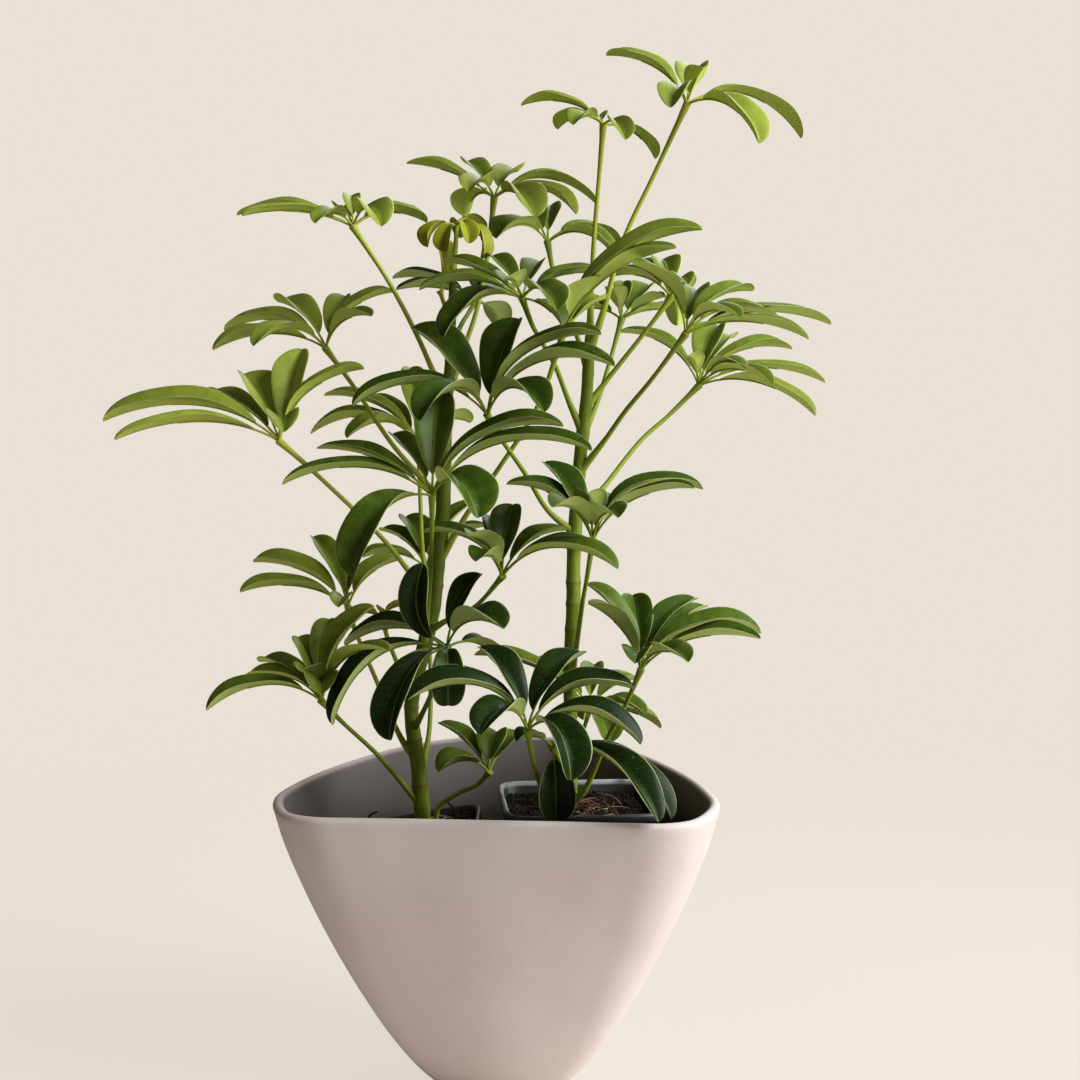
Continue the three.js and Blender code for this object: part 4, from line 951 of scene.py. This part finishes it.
LEFT_LEAVES = {
    "leaf_left_01": (
        0.12,
        [[-31, 0, 476], [-26, 22, 494], [-20, 45, 505], [-15.3, 58, 513]],
        [(-56, 10, 15, 16, 9, 8), (-52, -16, 7, 15, 7, 5), (14, 20, -18, 22, 6, 0),
         (1, 38, 21, 15, 3, 0), (23, 34, 4, 16, 7, 0)],
    ),
    "leaf_left_02": (
        0.7,
        [[-34, 0, 448], [-23, 12, 481], [-15, 24, 505], [-8, 36, 539], [-3, 45, 581]],
        [(-58, 10, 23, 16, 7, 10), (-20, 38, 26, 17, 5, 0), (-16, -40, 1, 19, 11, 0),
         (-19, 20, -11, 21, 11, 0), (16, 36, 20, 20, 6, 0), (68, 16, -3, 16, 19, 10),
         (53, -24, -12, 16, 15, 8), (26, -42, -15, 24, 12, 0)],
    ),
    "leaf_left_03": (
        0.68,
        [[-34, 0, 446], [-43.7, -5, 470], [-53.5, -9, 492.5], [-70, -12, 524], [-92.5, -15, 559]],
        [(-75, 18, 8, 16, 10, 10), (-66, -28, 5, 14, 8, 8), (-20, -40, 0, 14, 9, 0),
         (-12, 40, 13, 14, 5, 0), (-3, 26, 21, 11, 4, 0), (20, -42, -2, 21, 14, 0),
         (46, 10, 3, 18, 10, 10), (38, 40, 8, 15, 9, 5)],
    ),
    "leaf_left_04": (
        0.7,
        [[-36.5, 0, 382], [-53, 4, 400.5], [-70, 10, 420], [-96, 24, 457.5], [-115, 36, 482]],
        [(-68, 16, 11, 20, 17, 12), (-72, -15, -1, 19, 13, 8), (-42, -44, 2, 17, 15, 5),
         (-36, 42, 31, 22, 9, 0), (10, 40, 35, 16, 5, 0), (44, 12, 37, 16, 12, 10),
         (32, -26, 21, 16, 11, 5)],
    ),
    "leaf_left_05": (
        0.6,
        [[-41, 0, 340], [-20, -6, 377], [0, -13, 406], [24, -24, 445], [41, -35, 494]],
        [(21, -17, 33, 22, 3, 18), (85, -10, 62, 22, 21, 20), (67, -30, 50, 20, 14, 12),
         (27, 25, 20, 16, 4, 0), (-12, 28, 16, 16, 6, 0)],
    ),
    "leaf_left_06": (
        0.76,
        [[-43.5, 0, 316], [-58.5, -7, 338], [-77, -16, 363], [-116.5, -30, 404], [-138.8, -35, 425]],
        [(-111, 8, 12, 25, 21, 15), (-98, -24, 2, 17, 15, 8), (-52, 50, 28, 18, 8, 0),
         (-26, 34, 41, 26, 5, 0), (12, 34, 57, 22, 3, 0), (13, 50, 35, 16, 6, 0),
         (54, -6, 45, 17, 15, 12), (8, -46, 8, 20, 13, 0)],
    ),
    "leaf_left_07": (
        0.62,
        [[-43.5, 0, 313], [-50.5, 22, 343], [-53, 42, 381], [-54.4, 55, 418.5]],
        [(-73, 8, 6, 17, 19, 10), (-46, -26, 5, 17, 16, 5), (-37, 38, 29, 15, 9, 0),
         (-65, 24, 31, 15, 14, 8), (-7, 38, 50, 18, 6, 0), (34, 34, 12, 19, 11, 0)],
    ),
    "leaf_left_08": (
        0.32,
        [[-46.5, 0, 298], [-32, -18, 309], [-16, -36, 319], [2, -60, 342]],
        [(-49, 14, 26, 15, 14, 10), (-21, -25, 28, 20, 7, 0), (-8, 34, 35, 15, 6, 0),
         (7, 22, 43, 19, 6, 0), (41, 26, 26, 15, 11, 5), (70, -28, 8, 18, 20, 8),
         (68, 12, 10, 16, 18, 5), (-16, -30, 13, 17, 10, 0)],
    ),
    "leaf_left_09": (
        0.36,
        [[-49.5, 0, 287], [-46.5, -18, 312], [-43.3, -42, 347], [-41.8, -60, 374], [-41.2, -72, 394]],
        [(-92, 8, 6, 16, 18, 10), (-72, 26, 27, 16, 11, 8), (-27, 36, 35, 17, 7, 0),
         (5, 30, 62, 24, 6, 0), (-45, -44, -44, 27, 21, 5), (80, -4, 42, 20, 22, 12),
         (96, -30, 29, 18, 24, 12), (28, -40, -10, 30, 20, 0)],
    ),
    "leaf_left_10": (
        0.0,
        [[-57, 0, 233], [-51.5, -12, 244], [-43.3, -33, 264], [-32.5, -60, 298]],
        [(-64, 13, -1, 22, 15, 8), (-70, -14, -46, 22, 25, 8), (-34, -36, -51, 24, 18, 5),
         (-14, -6, 53, 18, -15, 130), (21, 24, 43, 16, 8, 5), (35, -30, 16, 26, 14, 0),
         (1, -24, -32, 20, 18, 0), (-26, 22, -30, 15, 10, 0), (34, 22, -18, 18, 12, 5)],
    ),
    "leaf_left_11": (
        0.7,
        [[-54, 0, 211], [-64.5, 4, 225], [-82, 12, 264.5], [-97, 17, 300], [-100.4, 18, 312.4]],
        [(-64, 18, 28, 21, 12, 12), (-69, -14, 12, 18, 12, 8), (-26, 36, 43, 17, 7, 0),
         (-5, 44, 32, 15, 7, 0), (33, 18, 29, 19, 9, 5), (-4, -28, 4, 14, 8, 0),
         (-14, 52, 20, 15, 10, 0)],
    ),
    "leaf_left_12": (
        0.4,
        [[-53.5, 0, 198], [-47.5, 24, 226], [-47, 44, 264], [-49, 60, 302], [-50, 68, 331.6]],
        [(-16, 30, 33, 21, 7, 0), (-33, 24, 24, 16, 8, 5), (-43, -10, 9, 15, 9, 5),
         (32, 22, 44, 16, 8, 5), (41, -8, 30, 14, 9, 5), (8, 44, 8, 19, 12, 0)],
    ),
    "leaf_left_13": (
        0.56,
        [[-52, 0, 182], [-64.5, -5, 198.5], [-80.5, -17, 221], [-101, -31, 244.5], [-113.5, -42, 260.8]],
        [(-71, -10, -4, 18, 17, 8), (-50, 18, 10, 17, 12, 8), (-44, 42, 18, 16, 10, 5),
         (-17, 26, 37, 21, 6, 0), (-11, -26, 24, 18, 7, 0), (2, 36, 47, 18, 6, 0),
         (33, 16, 58, 20, 12, 8), (3, -36, 11, 20, 13, 0), (46, -56, 41, 15, 17, 5)],
    ),
    "leaf_left_14": (
        0.95,
        [[-31.5, 1, 504], [-35, 5, 509.5], [-38, 9, 518]],
        [(-3, 2, 35, 18, 4, 0)],
    ),
    "sprout_left": (
        0.8,
        [[-57, 0, 256], [-66, 8, 272], [-74, 11, 292], [-77, 12, 305]],
        [(-17, 2, 3, 10, 4, 0), (2, -10, 8, 10, 3, 0), (15, 3, 7, 10, 6, 0)],
    ),
}
SOIL_LEAVES = {
    "leaf_soil_right": (
        0.0,
        [[37, -38, 150], [37, -38, 184], [27, -60, 204.5], [20, -78, 231], [16.5, -90, 251.5]],
        [(-72, -14, 22, 22, 24, 12), (-28, -40, 6, 24, 17, 0), (-30, 26, 47, 22, 9, 0),
         (36, 32, 42, 23, 11, 0), (65, 8, 24, 21, 18, 10), (68, -14, -6, 21, 20, 8),
         (25, -38, -22, 24, 24, 0)],
    ),
    "leaf_soil_left": (
        0.4,
        [[-41, -8, 162], [-41, -8, 181], [-28, -14, 193], [-15, -23, 201], [-6.5, -30, 211.5]],
        [(-32, -12, 3, 19, 10, 5), (-33, 20, 28, 15, 6, 0), (5, 18, 23, 19, 7, 0),
         (22, 22, 20, 15, 6, 5), (-6, 34, 14, 14, 7, 0)],
    ),
}
CROWN = {
    "crown_left": (
        0.7,
        [[-29.5, 0, 529], [-28, 2, 544], [-27, 5, 561]],
        [(-18, -8, -14, 15, 9, 5), (-7, -13, -17, 12, 9, 0), (8, -18, -12, 12, 9, 0),
         (15, -6, -21, 14, 12, 5), (2, 22, -7, 13, 8, 0), (14, 16, -6, 12, 10, 0)],
    ),
}
print("leaves listed:", len(RIGHT_LEAVES) + len(LEFT_LEAVES) + len(SOIL_LEAVES) + len(CROWN))

# %% [markdown]
# ## Growing the leaves
# A leaflet's rib is a Bezier curve that rises from the knot, arches over and comes down to its
# tip. The first few millimetres are its own little stalk, and the blade follows. Its outline is a
# power of a sine, which gives a wedge at the base, the widest place past the middle and a blunt
# tip. Points stand closer together at both ends, where the outline turns fastest.

# %% Lines of one leaf
LEAFLET_STALK, LEAFLET_STALK_SHARE, LEAFLET_STALK_MOST = 6, 0.1, 0.26
ARCH_POINTS = [(0, 0), (0.3, 1.3), (0.75, 0.85), (1, 0)]
ARCH_STEPS, RIB_POINTS, BLADE_POINTS, LOW_RIB_POINTS, STALK_POINTS = 120, 240, 25, 16, 40
BLUNTNESS, WIDEST, FULLNESS, TIP_WIDTH = 0.5, 1.4, 1.07, 0.03
STALK_TAPER = [(0, 3.2), (0.06, 2.5), (0.25, 1.65), (0.75, 1.4), (0.92, 1.8), (1, 2.6)]
KNOT_DEPTH, TONE_SPREAD = 1.2, 0.05
chance = np.random.default_rng(31)


def turned_about(v, axis, angle):
    """v turned about each unit axis by an angle."""
    along = axis * (axis @ v)[:, None]
    return v * math.cos(angle) + np.cross(axis, v) * math.sin(angle) + along * (1 - math.cos(angle))


def read_off(table, places):
    """Rows of a table read off at places from 0 at its first row to 1 at its last."""
    rows = np.linspace(0, 1, len(table))
    return np.column_stack([np.interp(places, rows, column) for column in table.T])


def leaflet_lines(knot, row, tone):
    """The blade's line, and a thin round line below it for the stalk and the rib."""
    across, back, rise, width, arch, turn = row
    chord = np.array([across, back, rise], float)
    side = np.cross(unit([across, back, 0]), UP)
    lift = unit(np.cross(side, chord))
    ends = [knot + out * chord + up * arch * lift for out, up in ARCH_POINTS]
    t = np.linspace(0, 1, ARCH_STEPS)[:, None]
    weights = (1 - t) ** 3, 3 * t * (1 - t) ** 2, 3 * t**2 * (1 - t), t**3
    rib = spaced(sum(w * p for w, p in zip(weights, ends)), RIB_POINTS)[0]
    length = np.linalg.norm(np.diff(rib, axis=0), axis=1).sum()
    tangents = unit(np.gradient(rib, axis=0))
    side_turned = turned_about(side, tangents, math.radians(turn) * (-1 if across < 0 else 1))
    face = unit(np.cross(side_turned, tangents))
    stalk_share = min(LEAFLET_STALK / length + LEAFLET_STALK_SHARE, LEAFLET_STALK_MOST)
    along = (1 - np.cos(np.linspace(0, math.pi, BLADE_POINTS))) / 2
    at = stalk_share + (1 - stalk_share) * along
    outline = np.clip(np.sin(math.pi * along**WIDEST), 0, 1) ** BLUNTNESS
    half = FULLNESS * width / 2 * np.maximum(outline, TIP_WIDTH)
    draw, shade = chance.uniform(), chance.normal(0, TONE_SPREAD)
    blade = {"points": read_off(rib, at), "face": read_off(face, at), "half_width": half, "blade": 1,
             "along": along, "tone": tone + shade, "draw": draw, "reach": length * (1 - stalk_share)}
    low = np.linspace(0, stalk_share + 0.55 * (1 - stalk_share), LOW_RIB_POINTS)
    radius, sink = (np.interp(low, [0, stalk_share, low[-1]], sizes)
                    for sizes in ([0.85, 0.75, 0.3], [0, 0.25, 0.42]))
    points = read_off(rib, low) - read_off(face, low) * sink[:, None]
    return [blade, {"points": points, "half_width": radius, "along": 0.6, "tone": tone + 0.1}]


def leaf_lines(tone, stalk, leaflets):
    middle = spaced(smooth_line(stalk)[0], STALK_POINTS)[0]
    share = np.linspace(0, 1, STALK_POINTS)
    radius = np.interp(share, *np.transpose(STALK_TAPER))
    lines = [{"points": middle, "half_width": radius, "along": share, "tone": tone}]
    knot = middle[-1] - unit(middle[-1] - middle[-2]) * KNOT_DEPTH
    for row in leaflets:
        lines += leaflet_lines(knot, row, tone)
    return lines


print("points along a blade:", BLADE_POINTS)

# %% [markdown]
# ## Every leaf in its place
# A leaf grows as one thing, so it becomes one piece: its long stalk, the blades of its leaflets
# and the thin rib under each. Young leaves are softer and yellower than old ones, so they take a
# finish of their own.

# %% Grow every leaf
YOUNG = ("crown_left", "leaf_left_14", "sprout_left")
LEAVES = {**RIGHT_LEAVES, **LEFT_LEAVES, **SOIL_LEAVES, **CROWN}
for node, (tone, stalk, leaflets) in LEAVES.items():
    finish, slot = (leaf_young, "young_leaf") if node in YOUNG else (leaf_green, "leaf")
    piece = grow(f"{node}_grown", leaf_lines(tone, stalk, leaflets), stalk_green, 10, finish)
    stands_for(piece, slot, node)

# %% [markdown]
# ## The stems
# A stem is a long round line whose radius changes. It swells where each leaf is seated, and just
# below an old seat it keeps a narrow ring, the scar of a leaf that has fallen. Both are added to
# the radius here, and the scar is also carried as an attribute, so that the finish colours it.

# %% Grow the stems
RIGHT_STEM = [(45, 0, 122), (46.5, 0, 170), (46.5, 0, 223), (46, 0, 276), (48, 0, 315), (48, 0, 341),
              (50, 0, 381), (52.5, 0, 414), (56, 0, 447), (57.5, 0, 473), (58.5, 0, 493)]
LEFT_STEM = [(-49, 0, 122), (-51, 0, 172), (-54, 0, 210), (-58, 0, 249), (-49, 0, 289), (-43.5, 0, 315),
             (-41, 0, 341), (-37.5, 0, 368), (-35.5, 0, 401), (-34, 0, 447), (-32, 0, 468), (-30.5, 0, 499),
             (-29.5, 0, 528)]
RIGHT_RADII = [4.1, 4.2, 4.1, 4.3, 4.7, 4.5, 4.4, 4.2, 3.9, 3.6, 3]
LEFT_RADII = [5, 5.3, 4.9, 4.5, 4.9, 5, 5.3, 4.8, 4.3, 3.7, 3.4, 2.8, 2.2]
RIGHT_SCARS = [196, 226, 241, 268, 299, 316, 330, 352, 392]
LEFT_SCARS = [196, 226, 248, 262, 303, 328, 352, 414, 430, 462, 484, 506]
STEM_POINTS, TIP_ROUNDING, TONE_HEIGHTS = 260, (0.97, 0.9, 0.7, 0.35), (200, 290)
SCAR_HALF_HEIGHT, SWELL_HALF_HEIGHT, SCAR_STEP, SWELL_STEP, SCAR_DEPTH = 0.9, 4, 0.35, 0.22, 0.65


def humps(height, levels, half_height):
    return sum(np.exp(-(((height - level) / half_height) ** 2)) for level in levels)


def stem_line(points, radii, scars, seats, tones):
    dense, places = smooth_line(points)
    middle, place_of = spaced(dense, STEM_POINTS, places)
    height = middle[:, 2]
    scar = np.minimum(humps(height, scars, SCAR_HALF_HEIGHT), 1)
    swell = np.minimum(humps(height, [*scars, *seats], SWELL_HALF_HEIGHT), 1.5)
    radius = np.interp(place_of, range(len(radii)), radii) + SWELL_STEP * swell + SCAR_STEP * scar
    radius[-len(TIP_ROUNDING):] *= TIP_ROUNDING
    tone = np.interp(height, TONE_HEIGHTS, tones)
    return {"points": middle, "half_width": radius, "tone": tone, "scar": SCAR_DEPTH * scar}


# The last pair is the stem's tone below and above TONE_HEIGHTS; the left stem turns darker upwards, which is
# painted shade among its leaves.
for side, points, radii, scars, leaves, tones in (
    ("right", RIGHT_STEM, RIGHT_RADII, RIGHT_SCARS, RIGHT_LEAVES, (0.4, 0.45)),
    ("left", LEFT_STEM, LEFT_RADII, LEFT_SCARS, LEFT_LEAVES, (0.55, 0.2)),
):
    seats = [stalk[0][2] for _, stalk, _ in leaves.values()]
    line = stem_line(points, radii, scars, seats, tones)
    stands_for(grow(f"stem_{side}_grown", [line], stem_green, 28), "stem", f"stem_{side}")

# %% [markdown]
# ## Roots and fibres on the mix
# Brown surface roots arch out of the mix, with thin pale fibres between them, and two dark
# twigs stand up in the left pot. They are grown by the same tree, as round lines. Both ends of
# a root or a fibre dip into the mix.

# %% Grow the roots and fibres
LINE_POINTS, DIP = 28, 3
TWIGS = [[(-78, -30, 162), (-83, -30, 175), (-84, -31, 183), (-79, -32, 186)],
         [(-31, -22, 162), (-29, -20, 176), (-31, -21, 186), (-34, -22, 189)]]


def lying_line(pot, middle, heading, reach, radius, bend, rise):
    angle = math.radians(heading)
    steps = np.linspace(-1, 1, 5)
    x = pot["x"] + middle[0] + np.cos(angle) * reach * steps + bend * chance.uniform(-1, 1, 5)
    y = pot["y"] + middle[1] + np.sin(angle) * reach * steps + bend * chance.uniform(-1, 1, 5)
    arch = np.array([-DIP, 0.65 * rise, rise, 0.65 * rise, -DIP])
    z = pot["soil"] + pot["heap"] * 0.8 + arch
    line = spaced(smooth_line(leaned(pot, np.column_stack([x, y, z])))[0], LINE_POINTS)[0]
    thin = np.interp(np.linspace(0, 1, LINE_POINTS), [0, 0.3, 1], [1, 0.85, 0.5])
    return {"points": line, "half_width": radius * thin, "tone": 0.5}


def scattered_lines(pot, count, spread, reaches, radii, bend, rises):
    lines = []
    for _ in range(count):
        middle, heading = chance.uniform(-spread, spread, 2), chance.uniform(0, 180)
        reach, radius, rise = (chance.uniform(*limits) for limits in (reaches, radii, rises))
        lines.append(lying_line(pot, middle, heading, reach, radius, bend, rise))
    return lines


def lay_on_mix(name, lines, finish, sides):
    piece = grow(name, lines, finish, sides)
    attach(piece, "root")
    print(f"{name}: {len(lines)} lines")


for side, pot, root_count in (("right", RIGHT_POT, 20), ("left", LEFT_POT, 8)):
    roots = scattered_lines(pot, root_count, 24, (9, 20), (0.4, 0.9), 3.0, (1, 8))
    lay_on_mix(f"surface_roots_{side}", roots, root_finish, 9)
    fibres = scattered_lines(pot, 14, 28, (6, 16), (0.25, 0.45), 4.0, (1, 4))
    lay_on_mix(f"pale_fibres_{side}", fibres, fibre_finish, 6)

twigs = [{"points": spaced(smooth_line(points)[0], 24)[0], "half_width": np.linspace(1.3, 0.6, 24)}
         for points in TWIGS]
lay_on_mix("twigs_left", twigs, bark_bits, 8)

# %% [markdown]
# ## The floor
# The floor is a wide pale disc that fades out into the world's own colour, so the object stands
# in an even, bright room from any side. To the camera it is only a faint film, which is enough
# for a soft shadow, while it sends its full light up to the object.

# %% Make the floor
BACKDROP = (0.81, 0.75, 0.66, 1)
FLOOR_RADIUS, FLOOR_SIDES, FLOOR_DROP = 1.5, 96, 0.0005
FADE_FROM, FADE_TO, FLOOR_SEEN = 0.3, 1.1, 0.12

floor_finish, tree, shader = new_material("pale_floor", Roughness=0.8, Base_Color=BACKDROP)
off_middle = place(tree, "ShaderNodeVectorMath", {0: object_place(tree)}, operation="LENGTH")
solid = window(tree, off_middle.outputs["Value"], FADE_FROM, FADE_TO, turned=True)
straight = place(tree, "ShaderNodeLightPath").outputs["Is Camera Ray"]
faint = calc(tree, "MULTIPLY_ADD", straight, FLOOR_SEEN - 1, 1.0)
fill(tree, shader.inputs["Alpha"], times(tree, solid, faint))

rim = [(math.cos(a) * FLOOR_RADIUS, math.sin(a) * FLOOR_RADIUS, -FLOOR_DROP)
       for a in np.linspace(0, math.tau, FLOOR_SIDES, endpoint=False)]
floor_mesh = bpy.data.meshes.new("floor")
floor_mesh.from_pydata(rim, [], [tuple(range(FLOOR_SIDES))])
floor_mesh.materials.append(floor_finish)
floor = link("floor", floor_mesh)
print("floor radius in metres:", FLOOR_RADIUS)

# %% [markdown]
# ## Room and lights
# One large soft lamp stands high on the right, where the photograph's window is, a weak one fills
# from the left, another lights the edges from behind, and the world adds the rest. The world is
# brighter to the camera than to the object, so the backdrop can be pale while the leaves stay
# dark. To shiny surfaces it is darker still, which keeps the leaves from looking milky.

# %% Light the room
ROOM_COLOR, LAMP_AIM = (0.86, 0.79, 0.7, 1), Vector((0, 0, 0.35))
ROOM_LIGHT, LESS_IN_SHINE, MORE_TO_CAMERA = 0.18, -0.1, 0.82

world = bpy.data.worlds.new("bright_room")
bpy.context.scene.world = world
world.use_nodes = True
tree = world.node_tree
path = place(tree, "ShaderNodeLightPath").outputs
seen = path["Is Camera Ray"]
background = tree.nodes["Background"].inputs
fill(tree, background["Color"], mixed(tree, seen, ROOM_COLOR, BACKDROP))
dim = calc(tree, "MULTIPLY_ADD", path["Is Glossy Ray"], LESS_IN_SHINE, ROOM_LIGHT)
fill(tree, background["Strength"], calc(tree, "MULTIPLY_ADD", seen, MORE_TO_CAMERA, dim))


def soft_lamp(name, spot, size, power, color):
    lamp = bpy.data.objects.new(name, bpy.data.lights.new(name, "AREA"))
    bpy.context.scene.collection.objects.link(lamp)
    lamp.location = spot
    lamp.rotation_euler = (LAMP_AIM - lamp.location).to_track_quat("-Z", "Y").to_euler()
    lamp.data.shape, lamp.data.size = "DISK", size
    lamp.data.energy, lamp.data.color = power, color


soft_lamp("window_light", (1.8, -0.7, 1.4), 1.9, 128, (0.92, 0.96, 1.0))
soft_lamp("left_fill", (-1.6, -1.2, 0.9), 1.4, 2, (1.0, 0.92, 0.82))
soft_lamp("back_light", (0.6, 1.6, 1.4), 1.2, 12, (0.95, 0.98, 1.0))
print("room and lights ready")
